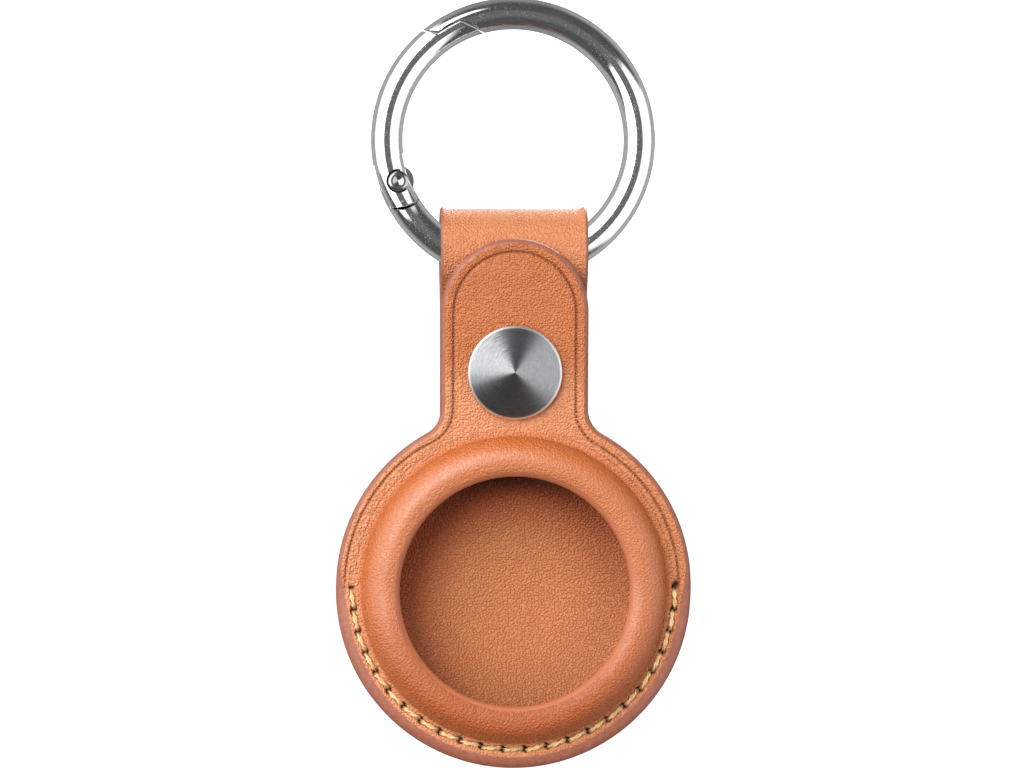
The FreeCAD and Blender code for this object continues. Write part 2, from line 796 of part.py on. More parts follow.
def round_block(name, radius, height, across=ZERO, up=ZERO, middle=ZERO):
    """A cylinder along Y, centred at this place."""
    cylinder = doc.addObject("Part::Cylinder", name)
    cylinder.setExpression("Radius", radius.text)
    cylinder.setExpression("Height", height.text)
    place = Vector(across.value, middle.value + height.value / 2, up.value)
    cylinder.Placement = FreeCAD.Placement(place, FreeCAD.Rotation(Vector(1, 0, 0), 90))
    return cylinder


def at_pivot(name, radius, height, middle=ZERO):
    return round_block(name, radius, height, pivot_across, pivot_up, middle)


def eased_block(name, radius, ease, across=ZERO, up=ZERO):
    """A turned block along Y whose radius grows by ease towards the front and the back of the wire."""
    flank = radius + ease
    straight = wire_radius - sizes["gate_ease_depth"]
    body = turned_piece(name, [
        line_from(ZERO, -block),
        line_from(flank, -block),
        line_from(flank, -wire_radius),
        line_from(radius, -straight),
        line_from(radius, straight),
        line_from(flank, wire_radius),
        line_from(flank, block),
        line_from(ZERO, block),
    ])
    body.Placement = FreeCAD.Placement(Vector(across.value, 0, up.value), FreeCAD.Rotation())
    return body


def eased_at_pivot(name, radius, ease):
    return eased_block(name, radius, ease, pivot_across, pivot_up)


def cut(name, base, tool):
    result = doc.addObject("Part::Cut", name)
    result.Base = base
    result.Tool = tool
    return result


def common(name, one, two):
    result = doc.addObject("Part::Common", name)
    result.Base = one
    result.Tool = two
    return result


def fuse(name, shapes):
    result = doc.addObject("Part::MultiFuse", name)
    result.Shapes = shapes
    return result


gate_gap = sizes["gate_gap"]
ease = sizes["gate_ease"]
lap_radius = ring_middle + sizes["lap_offset"]
pivot_angle = sizes["pivot_angle"]
socket_end = sizes["gate_end_radius"] + gate_gap
top_angle = Size.of(90)
tab_width = sizes["tab_thickness"]
slot_width = tab_width + sizes["tab_clearance"] * 2
spring_radius = sizes["gate_spring_wire"] / 2
spring_sweep = arc_degrees(sizes["gate_spring_length"])
spring_start = pivot_angle - arc_degrees(sizes["gate_spring_seat"]) - spring_sweep
bore_radius = spring_radius + sizes["tab_clearance"]
bore_start = spring_start - arc_degrees(sizes["tab_clearance"])
head_seat = wire_radius - sizes["rivet_head_depth"]
head_recess = sizes["rivet_head_radius"] + sizes["rivet_head_gap"]

frame_bow = cut(
    "frame_bow",
    ring_piece("frame_bow_wire", wire_radius, pivot_angle, 360 + top_angle - pivot_angle),
    eased_at_pivot("frame_end_cut", socket_end, ease),
)
nose_open = cut(
    "nose_open",
    ring_piece("nose_wire", wire_radius, top_angle, pivot_angle - top_angle),
    eased_at_pivot("nose_end_cut", sizes["gate_shoulder_reach"] + gate_gap, ease),
)
nose_lap = common(
    "nose_lap",
    eased_block("nose_lap_inside", lap_radius + gate_gap / 2, ease),
    eased_at_pivot("nose_lap_reach", sizes["gate_tip_reach"] + gate_gap, ease),
)
nose = cut("nose", nose_open, nose_lap)
tab_sweep = arc_degrees(socket_end * 1.5)
tab_slab = round_block("tab_slab", ring_outer, tab_width)
tab = common("tab", ring_piece("tab_wire", wire_radius, pivot_angle, tab_sweep), tab_slab)
knuckle = at_pivot("knuckle", sizes["knuckle_radius"], tab_width)
frame_solid = fuse("frame_solid", [frame_bow, nose, tab, knuckle])
frame_holes = fuse("frame_holes", [
    at_pivot("frame_rivet_hole", sizes["rivet_radius"] + sizes["rivet_clearance"], block),
    ring_piece("frame_spring_notch", bore_radius, bore_start,
               spring_sweep + arc_degrees(sizes["tab_clearance"] * 2)),
])
ring_frame = cut("ring_frame", frame_solid, frame_holes)

gate_arc = ring_piece("gate_wire", wire_radius, top_angle, pivot_angle - top_angle)
gate_heel = common(
    "gate_heel",
    ring_piece("gate_heel_wire", wire_radius, pivot_angle - tab_sweep / 2, tab_sweep * 1.5),
    eased_at_pivot("gate_heel_round", sizes["gate_end_radius"], -ease),
)
gate_long = fuse("gate_long", [gate_arc, gate_heel])
gate_solid = common("gate_solid", gate_long, eased_at_pivot("gate_tip_round", sizes["gate_tip_reach"], -ease))
lap_outside = cut(
    "lap_outside",
    round_block("lap_block", ring_outer * 1.2, block),
    eased_block("lap_core", lap_radius - gate_gap / 2, -ease),
)
gate_lap = cut("gate_lap", lap_outside, eased_at_pivot("gate_shoulder", sizes["gate_shoulder_reach"], -ease))
recess_middle = head_seat + wire_radius / 2
gate_cuts = fuse("gate_cuts", [
    gate_lap,
    at_pivot("gate_slot", socket_end, slot_width),
    at_pivot("gate_rivet_hole", sizes["rivet_radius"], block),
    at_pivot("gate_front_recess", head_recess, wire_radius, -recess_middle),
    at_pivot("gate_back_recess", head_recess, wire_radius, recess_middle),
    ring_piece("gate_spring_bore", bore_radius, bore_start, spring_sweep),
])
ring_gate = cut("ring_gate", gate_solid, gate_cuts)

head_face = head_seat + sizes["rivet_head_height"]
head_flat = sizes["rivet_head_radius"] - sizes["rivet_bevel"]
gate_rivet = turned_piece("gate_rivet", [
    line_from(ZERO, -head_face + sizes["rivet_dimple"]),
    line_from(sizes["rivet_dimple"] * 2, -head_face),
    line_from(head_flat, -head_face),
    line_from(sizes["rivet_head_radius"], -head_face + sizes["rivet_bevel"]),
    line_from(sizes["rivet_head_radius"], -head_seat),
    line_from(sizes["rivet_radius"], -head_seat),
    line_from(sizes["rivet_radius"], head_seat),
    line_from(sizes["rivet_head_radius"], head_seat),
    line_from(sizes["rivet_head_radius"], head_face - sizes["rivet_bevel"]),
    line_from(head_flat, head_face),
    line_from(ZERO, head_face),
])
gate_rivet.Placement = FreeCAD.Placement(Vector(pivot_across.value, 0, pivot_up.value), FreeCAD.Rotation())

gate_spring = ring_piece("gate_spring", spring_radius, spring_start, spring_sweep)


# Write one file for each piece

NODES = [
    ring_frame, ring_gate, gate_rivet, gate_spring,
    back_panel, pocket_lining, front_panel, front_flap,
    seam_needle_thread, seam_bobbin_thread,
    snap_cap, snap_cap_post, snap_socket, snap_spring, snap_stud, snap_stud_post,
]

doc.recompute()
for item in doc.Objects:
    if "Invalid" in item.State or "Error" in item.State:
        raise RuntimeError("%s did not build: %s" % (item.Name, item.State))
os.makedirs("parts", exist_ok=True)
for node in NODES:
    shape = node.Shape
    if shape.isNull() or not shape.isValid():
        raise RuntimeError(node.Label + " has no valid shape")
    shape.exportStep("parts/%s.step" % node.Label)
    print(node.Label, len(shape.Solids), round(shape.Volume, 2))
print("flap leans", round(flap_lean.value, 3), "swing drop", round(swing_drop.value, 3))
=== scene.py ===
"""Leather, thread and metal for a tracker tag holder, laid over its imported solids."""

import json
import math

import bmesh
import bpy
import numpy as np
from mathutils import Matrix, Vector

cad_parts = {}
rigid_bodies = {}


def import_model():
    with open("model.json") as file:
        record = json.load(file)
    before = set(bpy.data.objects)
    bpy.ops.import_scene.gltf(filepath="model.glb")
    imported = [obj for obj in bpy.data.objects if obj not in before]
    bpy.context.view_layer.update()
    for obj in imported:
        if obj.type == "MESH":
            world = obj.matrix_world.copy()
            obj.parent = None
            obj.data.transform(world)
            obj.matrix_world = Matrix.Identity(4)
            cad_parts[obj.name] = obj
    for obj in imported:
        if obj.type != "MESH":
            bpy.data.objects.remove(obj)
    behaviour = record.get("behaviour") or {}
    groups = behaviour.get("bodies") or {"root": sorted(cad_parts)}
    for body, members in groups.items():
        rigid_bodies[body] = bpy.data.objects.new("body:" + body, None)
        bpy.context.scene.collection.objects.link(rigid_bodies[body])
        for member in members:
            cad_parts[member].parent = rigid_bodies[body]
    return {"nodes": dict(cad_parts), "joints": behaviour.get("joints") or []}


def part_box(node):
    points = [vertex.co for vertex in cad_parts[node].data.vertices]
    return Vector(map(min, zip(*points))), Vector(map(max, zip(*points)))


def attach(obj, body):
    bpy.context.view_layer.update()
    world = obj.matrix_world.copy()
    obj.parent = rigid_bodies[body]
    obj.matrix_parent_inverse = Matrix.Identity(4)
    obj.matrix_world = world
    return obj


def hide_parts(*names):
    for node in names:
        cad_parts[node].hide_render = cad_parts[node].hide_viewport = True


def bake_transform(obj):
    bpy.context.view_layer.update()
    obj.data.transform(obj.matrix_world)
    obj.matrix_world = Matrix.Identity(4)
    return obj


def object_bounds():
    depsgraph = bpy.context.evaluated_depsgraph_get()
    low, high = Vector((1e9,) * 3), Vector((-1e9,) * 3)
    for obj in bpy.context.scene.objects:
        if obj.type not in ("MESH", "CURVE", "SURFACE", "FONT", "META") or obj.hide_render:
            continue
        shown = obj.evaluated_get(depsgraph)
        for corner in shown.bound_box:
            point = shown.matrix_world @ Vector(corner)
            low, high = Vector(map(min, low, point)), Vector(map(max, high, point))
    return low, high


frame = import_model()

bl_info = {
    "name": "Tag Holder Looks",
    "version": (1, 0, 0),
    "blender": (4, 5, 0),
    "location": "View3D > Sidebar > Tag Holder",
    "description": "Builds the leather, thread and metal of a tracker tag holder",
    "category": "Add Mesh",
}

MM = 0.001
CAD_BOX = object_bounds()
JOINTS = {joint["name"]: joint for joint in frame["joints"]}

# Places and sizes that follow the solids
LINING_LOW, LINING_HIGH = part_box("pocket_lining")
RING_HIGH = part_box("ring_frame")[1]
BODY_RADIUS = (LINING_HIGH.x - LINING_LOW.x) / 2
BODY_UP = LINING_LOW.z + BODY_RADIUS
HINGE_DEPTH = JOINTS["flap_open"]["pos_m"][1]
SWING_UP = JOINTS["holder_swing"]["pos_m"][2] - BODY_UP
PLY_BACK = LINING_LOW.y
WIRE_RADIUS = RING_HIGH.y
RING_RADIUS = RING_HIGH.x - WIRE_RADIUS
FLAP_LEAN = math.radians(6.438)
HINGE_HALF = 3.0 * MM
STRAP_HALF = 8.15 * MM
NECK_FILLET = 3.0 * MM
TONGUE_TOP = 38.705 * MM
BEAD_MIDDLE = 14.3 * MM
BEAD_RADIUS = 2.85 * MM
BEAD_OUTSIDE = 2.55 * MM
BEAD_FOOT = BEAD_MIDDLE + BEAD_OUTSIDE
FOOT_FILLET = 0.35 * MM
LIP_ANGLE = math.radians(114.0)
LIP_OUT = 0.7 * MM
BORDER = 1.6 * MM
FRONT_PLY = 1.1 * MM
FRONT_FACE = PLY_BACK - FRONT_PLY
BACK_PLY = 0.9 * MM
DISH_MIDDLE = -34.8 * MM
DISH_RADIUS = 38.0 * MM
LINING_PLY = 0.8 * MM
SEAM_RADIUS = 17.9 * MM
SEAM_RISE = 0.33 * MM
STITCHES = 23
HOLE_LENGTH = 0.62 * MM
HOLE_WIDTH = 0.46 * MM
LOOP_DEPTH = -0.05 * MM
LOOP_INNER = 3.79 * MM
LOOP_BEND = 8.0 * MM
FOLD_GLUE = 0.1 * MM
CAP_RADIUS = 5.2 * MM
CAP_RISE = 24.0 * MM
CAP_HEIGHT = 0.9 * MM
SPRING_RADIUS = 0.3 * MM
SPRING_ARC = (168.8, 195.3)
FAR = 99.0 * MM

# Colours of marks on the leather. Several are painted shade: the bead's lower side, the pocket near its walls
# and under its lip, and the stitch holes.
BEAD_UNDERSIDE_SHADE_TAN = (0.40, 0.084, 0.016)
WALL_SHADE_TINT = (0.70, 0.34, 0.25)
RECESS_SHADE_BROWN = (0.05, 0.012, 0.006)
SHADE_BROWN = (0.045, 0.010, 0.003)
CREASE_BROWN = (0.13, 0.032, 0.014)
HOLE_SHADE_BROWN = (0.020, 0.006, 0.004)
FLESH_PALE = (0.68, 0.37, 0.21)
WORN_PAINT = (0.56, 0.23, 0.16)
LIP_PAINT = (0.50, 0.150, 0.064)

# Colours of marks on the metal. The cap's bevel is near white: a polished bevel with a painted highlight.
SPECK_GREY = (0.62, 0.62, 0.62)
TARNISH_BROWN = (0.20, 0.185, 0.165)
BEVEL_HIGHLIGHT_STEEL = (0.95, 0.94, 0.93)

# Where the soft boxes point
STAGE_TARGET = (0.0, 0.0, -0.03)


class LeatherLooks(bpy.types.PropertyGroup):
    """Sizes and colours of the leather."""

    edge_bevel: bpy.props.FloatProperty(
        name="Edge bevel", description="How far the painted edge of the tongue rounds over",
        default=0.5 * MM, unit="LENGTH", precision=5)
    rim_bevel: bpy.props.FloatProperty(
        name="Rim bevel", description="How far the sewn rim rounds over",
        default=1.35 * MM, unit="LENGTH", precision=5)
    crease_inset: bpy.props.FloatProperty(
        name="Crease inset", description="Distance of the creased line from the edge",
        default=1.38 * MM, unit="LENGTH", precision=5)
    crease_depth: bpy.props.FloatProperty(
        name="Crease depth", description="Depth of the creased line",
        default=0.2 * MM, unit="LENGTH", precision=5)
    grain_size: bpy.props.FloatProperty(
        name="Grain size", description="Width of one pebble of the grain",
        default=0.28 * MM, unit="LENGTH", precision=5)
    grain_depth: bpy.props.FloatProperty(
        name="Grain depth", description="Height of the pebbles of the grain",
        default=0.12 * MM, unit="LENGTH", precision=6)
    light_tan: bpy.props.FloatVectorProperty(
        name="Light tan", description="Colour on top of the grain",
        default=(0.66, 0.207, 0.070), subtype="COLOR")
    deep_tan: bpy.props.FloatVectorProperty(
        name="Deep tan", description="Colour between the pebbles of the grain",
        default=(0.42, 0.110, 0.031), subtype="COLOR")
    # On the bead's outer flank this colour stands for stretched leather and also for painted shade at the
    # bead's foot.
    pulled_tan: bpy.props.FloatVectorProperty(
        name="Pulled tan", description="Colour where the leather is stretched over the bead",
        default=(0.58, 0.148, 0.034), subtype="COLOR")
    # Pale tan also stands for light: where the rim and the loop are made paler, it is partly rubbed leather and
    # partly painted light.
    pale_tan: bpy.props.FloatVectorProperty(
        name="Pale tan", description="Colour of the rim and the strap, where the leather is rubbed",
        default=(0.78, 0.325, 0.155), subtype="COLOR")
    edge_paint: bpy.props.FloatVectorProperty(
        name="Edge paint", description="Colour of the painted edges",
        default=(0.34, 0.110, 0.064), subtype="COLOR")
    flesh: bpy.props.FloatVectorProperty(
        name="Flesh side", description="Colour of the rough inner side",
        default=(0.55, 0.27, 0.145), subtype="COLOR")


class ThreadLooks(bpy.types.PropertyGroup):
    """Sizes and colours of the seam."""

    strand: bpy.props.FloatProperty(
        name="Strand radius", description="Radius of one of the two twisted strands",
        default=0.14 * MM, unit="LENGTH", precision=6)
    twist: bpy.props.FloatProperty(
        name="Twist", description="Turns of the strands in one stitch", default=1.2)
    rise: bpy.props.FloatProperty(
        name="Rise", description="Height of a stitch over the leather",
        default=0.14 * MM, unit="LENGTH", precision=6)
    slant: bpy.props.FloatProperty(
        name="Slant", description="How far a stitch runs across the seam line",
        default=0.12 * MM, unit="LENGTH", precision=6)
    gold: bpy.props.FloatVectorProperty(
        name="Gold", description="Colour of the thread", default=(0.95, 0.71, 0.34), subtype="COLOR")
    shade: bpy.props.FloatVectorProperty(
        name="Shade", description="Colour between the fibres", default=(0.46, 0.21, 0.055), subtype="COLOR")


class MetalLooks(bpy.types.PropertyGroup):
    """Colours of the metals."""

    chrome: bpy.props.FloatVectorProperty(
        name="Chrome", description="Colour of the ring", default=(0.96, 0.96, 0.97), subtype="COLOR")
    steel: bpy.props.FloatVectorProperty(
        name="Steel", description="Colour of the snap and the rivet",
        default=(0.58, 0.58, 0.585), subtype="COLOR")
    spring: bpy.props.FloatVectorProperty(
        name="Spring", description="Colour of the spring wire", default=(0.38, 0.375, 0.37), subtype="COLOR")
    cap: bpy.props.FloatProperty(
        name="Cap", description="Brightness of the spun cap", default=0.38)
    spin: bpy.props.FloatProperty(
        name="Spin marks", description="How far the streaks of the cap tilt its reflections", default=0.17)


class StageLooks(bpy.types.PropertyGroup):
    """Light and floor."""

    floor: bpy.props.FloatVectorProperty(
        name="Floor", description="Colour of the floor and the wall", default=(0.9, 0.9, 0.9), subtype="COLOR")
    left_light: bpy.props.FloatProperty(
        name="Left light", description="Brightness of the large soft light on the left", default=1.5)
    right_light: bpy.props.FloatProperty(
        name="Right light", description="Brightness of the large soft light on the right", default=1.05)
    dim: bpy.props.FloatProperty(
        name="Dim room", description="Brightness of the room between the lights", default=0.08)
    key_light: bpy.props.FloatProperty(
        name="Key light", description="Power of the soft box at the upper left",
        default=8.2, unit="POWER")
    back_light: bpy.props.FloatProperty(
        name="Back light", description="Power of the soft box behind and above", default=6.0, unit="POWER")
    side_light: bpy.props.FloatProperty(
        name="Side light", description="Power of the small soft box at the left", default=3.4, unit="POWER")


def looks(name):
    """One of the scene's groups of sizes and colours."""
    return getattr(bpy.context.scene, "holder_" + name)


# Shader values

class Value:
    """A shader socket that can stand in a Python sum or product."""

    def __init__(self, finish, socket):
        self.finish = finish
        self.socket = socket

    def math(self, operation, *others):
        sockets = dict(enumerate([self, *others]))
        return self.finish.node("ShaderNodeMath", {"operation": operation}, sockets)

    def __add__(self, other):
        return self.math("ADD", other)

    __radd__ = __add__

    def __sub__(self, other):
        return self.math("SUBTRACT", other)

    def __rsub__(self, other):
        return self.finish.node("ShaderNodeMath", {"operation": "SUBTRACT"}, {0: other, 1: self})

    def __mul__(self, other):
        return self.math("MULTIPLY", other)

    __rmul__ = __mul__


class Finish:
    """A material or a world whose nodes are added one expression at a time."""

    def __init__(self, owner):
        self.owner = owner
        owner.use_nodes = True
        self.tree = owner.node_tree
        self.tree.nodes.clear()

    def feed(self, socket, value):
        if isinstance(value, Value):
            self.tree.links.new(value.socket, socket)
        elif isinstance(value, tuple) and len(value) == 3 and socket.type == "RGBA":
            socket.default_value = (*value, 1.0)
        else:
            socket.default_value = value

    def node(self, kind, settings=None, sockets=None, output=0):
        """Adds a node, gives it its settings and then its sockets, and returns one of its outputs."""
        made = self.tree.nodes.new(kind)
        for key, value in (settings or {}).items():
            setattr(made, key, value)
        for key, value in (sockets or {}).items():
            self.feed(made.inputs[key], value)
        return Value(self, made.outputs[output]) if made.outputs else None

    def place(self):
        return self.node("ShaderNodeTexCoord", output="Object")

    def mark(self, name):
        """A number that the mesh carries at each of its points."""
        return self.node("ShaderNodeAttribute", {"attribute_name": name}, output="Fac")

    def noise(self, place, size, detail=2.0):
        """Cloudy noise from 0 to 1 with features of about that size."""
        return self.node("ShaderNodeTexNoise", None, {"Vector": place, "Scale": 1.0 / size, "Detail": detail})

    def step(self, value, low, high, start=0.0, end=1.0):
        """A smooth step from start at low to end at high."""
        sockets = {"Value": value, "From Min": low, "From Max": high, "To Min": start, "To Max": end}
        return self.node("ShaderNodeMapRange", {"interpolation_type": "SMOOTHSTEP"}, sockets)

    def mix(self, share, first, second):
        """The first colour where share is 0 and the second where it is 1. Sockets 6 and 7 and output 2 of a
        Mix node are its colours."""
        sockets = {0: share, 6: first, 7: second}
        return self.node("ShaderNodeMix", {"data_type": "RGBA"}, sockets, output=2)

    def vector(self, operation, *values, scale=None):
        sockets = dict(enumerate(values))
        if scale is not None:
            sockets["Scale"] = scale
        return self.node("ShaderNodeVectorMath", {"operation": operation}, sockets)

    def bump(self, height, distance, strength):
        sockets = {"Height": height, "Distance": distance, "Strength": strength}
        return self.node("ShaderNodeBump", None, sockets, output="Normal")

    def surface(self, sockets):
        """Closes the material with one glossy surface."""
        shader = self.node("ShaderNodeBsdfPrincipled", None, sockets)
        self.node("ShaderNodeOutputMaterial", None, {"Surface": shader})
        return self.owner


def leather_finish(name, grain_scale, grain_share, rubbed, shine, flat=False):
    """Grained leather: round pebbles with soft valleys, clouded colour, painted edges and a rough inner side.
    A flat one lays its pebbles out in the upright plane, so that all of them are cut through the middle."""
    leather = looks("leather")
    finish = Finish(bpy.data.materials.new(name))
    place = finish.place()
    drift = finish.node(
        "ShaderNodeTexNoise", None, {"Vector": place, "Scale": 1.0 / (0.8 * MM)}, output="Color")
    drift = finish.vector("SCALE", finish.vector("SUBTRACT", drift, (0.5, 0.5, 0.5)), scale=0.12 * MM)
    spot = finish.vector("ADD", place, drift)
    if flat:
        spot = finish.node("ShaderNodeMapping", None, {"Vector": spot, "Rotation": (-math.pi / 2, 0.0, 0.0)})
    cell = finish.node(
        "ShaderNodeTexVoronoi", {"feature": "F1", "voronoi_dimensions": "2D" if flat else "3D"},
        {"Vector": spot, "Scale": 1.0 / (grain_scale * leather.grain_size), "Randomness": 0.85})
    pebble = finish.step(cell, 0.75, 0.12)
    tops = finish.step(cell, 0.45, 0.1)
    roll = finish.noise(place, 0.22 * grain_scale * MM, detail=1.0)
    fine = finish.noise(place, 0.1 * MM)
    cloud = finish.noise(place, 6.0 * MM, detail=3.0)
    paint = finish.mark("paint")
    flesh = finish.mark("flesh")
    pulled = finish.mark("pulled")
    grain = (1.0 - paint) * (1.0 - flesh) * (1.0 - 0.4 * pulled) * grain_share
    # Lighter pebble tops: partly the grain's own tone, partly a painted highlight on the pebbles.
    tone = 0.5 + (0.12 * (pebble - 0.5) + 0.26 * tops) * grain
    tone = tone + 0.5 * (cloud - 0.5) + 0.35 * (fine - 0.5) + 0.08 * pulled
    colour = finish.mix(finish.step(tone, 0.0, 1.0), tuple(leather.deep_tan), tuple(leather.light_tan))
    # Paler where marked: rubbed leather and painted light, stronger on the rim's left and on the loop's top.
    colour = finish.mix(finish.mark("paler_rubbed_and_lit") * 0.85 + rubbed, colour, tuple(leather.pale_tan))
    # Stretched leather over the bead, with painted shade on its outer flank near the foot.
    colour = finish.mix(0.9 * finish.mark("flank_pulled_and_shaded") + 0.2 * pulled, colour, tuple(leather.pulled_tan))
    # Painted shade: the bead's lower half darkens towards the bottom, and has less coat there.
    colour = finish.mix(0.85 * finish.mark("bead_underside_shade"), colour, BEAD_UNDERSIDE_SHADE_TAN)
    # Painted shade in the pocket: redder and darker near the walls, dark brown in the recess, and darkest under
    # the lip at the top.
    colour = finish.mix(finish.mark("wall"), colour, finish.vector("MULTIPLY", colour, WALL_SHADE_TINT))
    colour = finish.mix(0.2 * finish.mark("recess_shade"), colour, RECESS_SHADE_BROWN)
    colour = finish.mix(0.88 * finish.mark("shade"), colour, SHADE_BROWN)
    colour = finish.mix(0.4 * finish.mark("crinkle"), colour, tuple(leather.pale_tan))
    dots = finish.mark("along").math("MULTIPLY", 2.0 * math.pi / (0.38 * MM)).math("SINE")
    crease = finish.mark("crease") * (0.62 + 0.38 * dots * finish.mark("dotted"))
    colour = finish.mix(crease, colour, CREASE_BROWN)
    rough_side = finish.mix(finish.step(fine, 0.25, 0.8), tuple(leather.flesh), FLESH_PALE)
    colour = finish.mix(flesh, colour, rough_side)
    worn = finish.step(finish.noise(place, 0.5 * MM, detail=4.0), 0.35, 0.75, 0.0, 0.3)
    painted = finish.mix(worn, tuple(leather.edge_paint), WORN_PAINT)
    painted = finish.mix(finish.mark("lip"), painted, LIP_PAINT)
    colour = finish.mix(paint, colour, painted)
    # Painted shade in the stitch holes.
    colour = finish.mix(finish.mark("hole"), colour, HOLE_SHADE_BROWN)
    crinkle = finish.noise(place, 0.28 * MM) * finish.mark("crinkle")
    nap = finish.noise(place, 0.05 * MM) * flesh
    height = (pebble + 0.2 * roll) * grain + 0.1 * fine + 1.6 * crinkle + 0.5 * nap
    roughness = 0.46 - 0.18 * pebble * grain + 0.10 * (fine - 0.5)
    roughness = roughness - 0.06 * paint + 0.35 * flesh + 0.2 * finish.mark("lip")
    return finish.surface({
        "Base Color": colour, "Roughness": roughness, "Specular IOR Level": shine,
        "Coat Weight": 0.7 * pulled - 0.6 * finish.mark("bead_underside_shade"), "Coat Roughness": 0.4, "Coat IOR": 1.6,
        "Normal": finish.bump(height, leather.grain_depth, 0.9)})


def thread_finish():
    """Waxed thread: fine fibres along the strands, darker in between, with painted shade where it sinks into
    the holes.
    """
    thread = looks("thread")
    finish = Finish(bpy.data.materials.new("waxed_thread"))
    place = finish.place()
    fibre = finish.noise(place, 0.07 * MM, detail=3.0)
    tuft = finish.noise(place, 0.6 * MM)
    tone = finish.step(0.65 * fibre + 0.35 * tuft, 0.28, 0.62) * (1.0 - 0.75 * finish.mark("sunk_shade"))
    colour = finish.mix(tone, tuple(thread.shade), tuple(thread.gold))
    return finish.surface({
        "Base Color": colour, "Roughness": 0.62 - 0.15 * fibre, "Sheen Weight": 0.25,
        "Normal": finish.bump(fibre, 0.03 * MM, 0.6)})


def chrome_finish():
    """Plated wire: mirror bright, with faint hazy wipes, hair scratches and a few specks."""
    finish = Finish(bpy.data.materials.new("plated_chrome"))
    place = finish.place()
    haze = finish.noise(place, 3.0 * MM, detail=3.0)
    speck = finish.step(finish.noise(place, 0.13 * MM, detail=1.0), 0.68, 0.74)
    stretched = finish.vector("MULTIPLY", place, (1.0, 9.0, 1.0))
    hair = finish.noise(stretched, 0.35 * MM, detail=3.0)
    colour = finish.mix(0.5 * speck, tuple(looks("metal").chrome), SPECK_GREY)
    roughness = 0.05 + 0.06 * finish.step(haze, 0.45, 0.75) + 0.10 * speck
    return finish.surface({
        "Base Color": colour, "Metallic": 1.0, "Roughness": roughness,
        "Normal": finish.bump(0.4 * hair + 1.6 * speck, 0.006 * MM, 0.5)})


def steel_finish(name, colour, base, spread, grime):
    """Turned or drawn steel: fine rubbed marks, and patches of a little tarnish that are also hazier."""
    finish = Finish(bpy.data.materials.new(name))
    place = finish.place()
    patch = finish.noise(place, 0.8 * MM, detail=4.0)
    rub = finish.noise(place, 0.09 * MM)
    tarnish = finish.step(patch, 0.45, 0.8, 0.0, grime)
    shade = finish.mix(tarnish, tuple(colour), TARNISH_BROWN)
    return finish.surface({
        "Base Color": shade, "Metallic": 1.0, "Roughness": base + spread * rub + 0.1 * tarnish,
        "Normal": finish.bump(rub, 0.004 * MM, 0.3)})


def spun_finish(middle):
    """Cap of spun steel: short streaks round the cap's axis tilt the reflections outwards and inwards, fine
    specks break them up, and the bevel is near white: polished, with a painted highlight."""
    metal = looks("metal")
    finish = Finish(bpy.data.materials.new("spun_steel"))
    place = finish.place()
    spoke = finish.vector("SUBTRACT", place, tuple(middle))
    flat = finish.vector("MULTIPLY", spoke, (1.0, 0.0, 1.0))
    reach = finish.node("ShaderNodeVectorMath", {"operation": "LENGTH"}, {0: flat}, output="Value")
    outward = finish.vector("NORMALIZE", flat)
    round_axis = finish.vector("SCALE", outward, scale=5.0)
    rings = finish.node(
        "ShaderNodeTexNoise", {"noise_dimensions": "4D"},
        {"Vector": round_axis, "W": reach * (1.0 / (0.1 * MM)), "Scale": 1.0, "Detail": 2.0})
    specks = finish.noise(place, 0.07 * MM, detail=1.0)
    face = finish.mark("face")
    bands = finish.node(
        "ShaderNodeTexNoise", {"noise_dimensions": "1D"},
        {"W": reach, "Scale": 1.0 / (0.5 * MM), "Detail": 2.0})
    tilt = (0.36 + (rings - 0.5) * (2.0 * metal.spin) + (bands - 0.5) * 0.03) * face
    outward = finish.node(
        "ShaderNodeVectorTransform", {"vector_type": "VECTOR", "convert_from": "OBJECT", "convert_to": "WORLD"},
        {0: outward})
    facing = finish.node("ShaderNodeNewGeometry", output="Normal")
    leaning = finish.vector("ADD", finish.vector("SCALE", outward, scale=tilt), (0.0, 0.0, -0.05))
    normal = finish.vector("NORMALIZE", finish.vector("ADD", facing, leaning))
    dark = tuple(metal.cap * share for share in (0.8, 0.81, 0.84))
    light = tuple(metal.cap * share for share in (1.16, 1.17, 1.2))
    shade = finish.mix(finish.step(0.6 * rings + 0.4 * specks, 0.3, 0.7), dark, light)
    # The bevel is near white: a polished bevel with a painted highlight.
    shade = finish.mix(face, BEVEL_HIGHLIGHT_STEEL, shade)
    roughness = 0.5 + face * (0.06 * bands - 0.25)
    return finish.surface({"Base Color": shade, "Metallic": 1.0, "Roughness": roughness, "Normal": normal})


# Meshes

def smooth(low, high, value):
    """Smooth step from 0 at low to 1 at high."""
    share = np.clip((value - low) / (high - low), 0.0, 1.0)
    return share * share * (3.0 - 2.0 * share)


def bell(value, middle, spread):
    """Bell curve of height 1 at middle."""
    return np.exp(-(((value - middle) / spread) ** 2))


def turn_about_hinge(points, angle):
    """Turns points about the flap's hinge line, forwards for a positive angle."""
    depth = points[..., 1] - HINGE_DEPTH
    height = points[..., 2] - BODY_UP
    turned = np.empty_like(points)
    turned[..., 0] = points[..., 0]
    turned[..., 1] = HINGE_DEPTH + depth * np.cos(angle) - height * np.sin(angle)
    turned[..., 2] = BODY_UP + depth * np.sin(angle) + height * np.cos(angle)
    return turned


def add_object(name, data):
    """Puts a mesh, a light or a camera into the scene."""
    made = bpy.data.objects.new(name, data)
    bpy.context.scene.collection.objects.link(made)
    return made


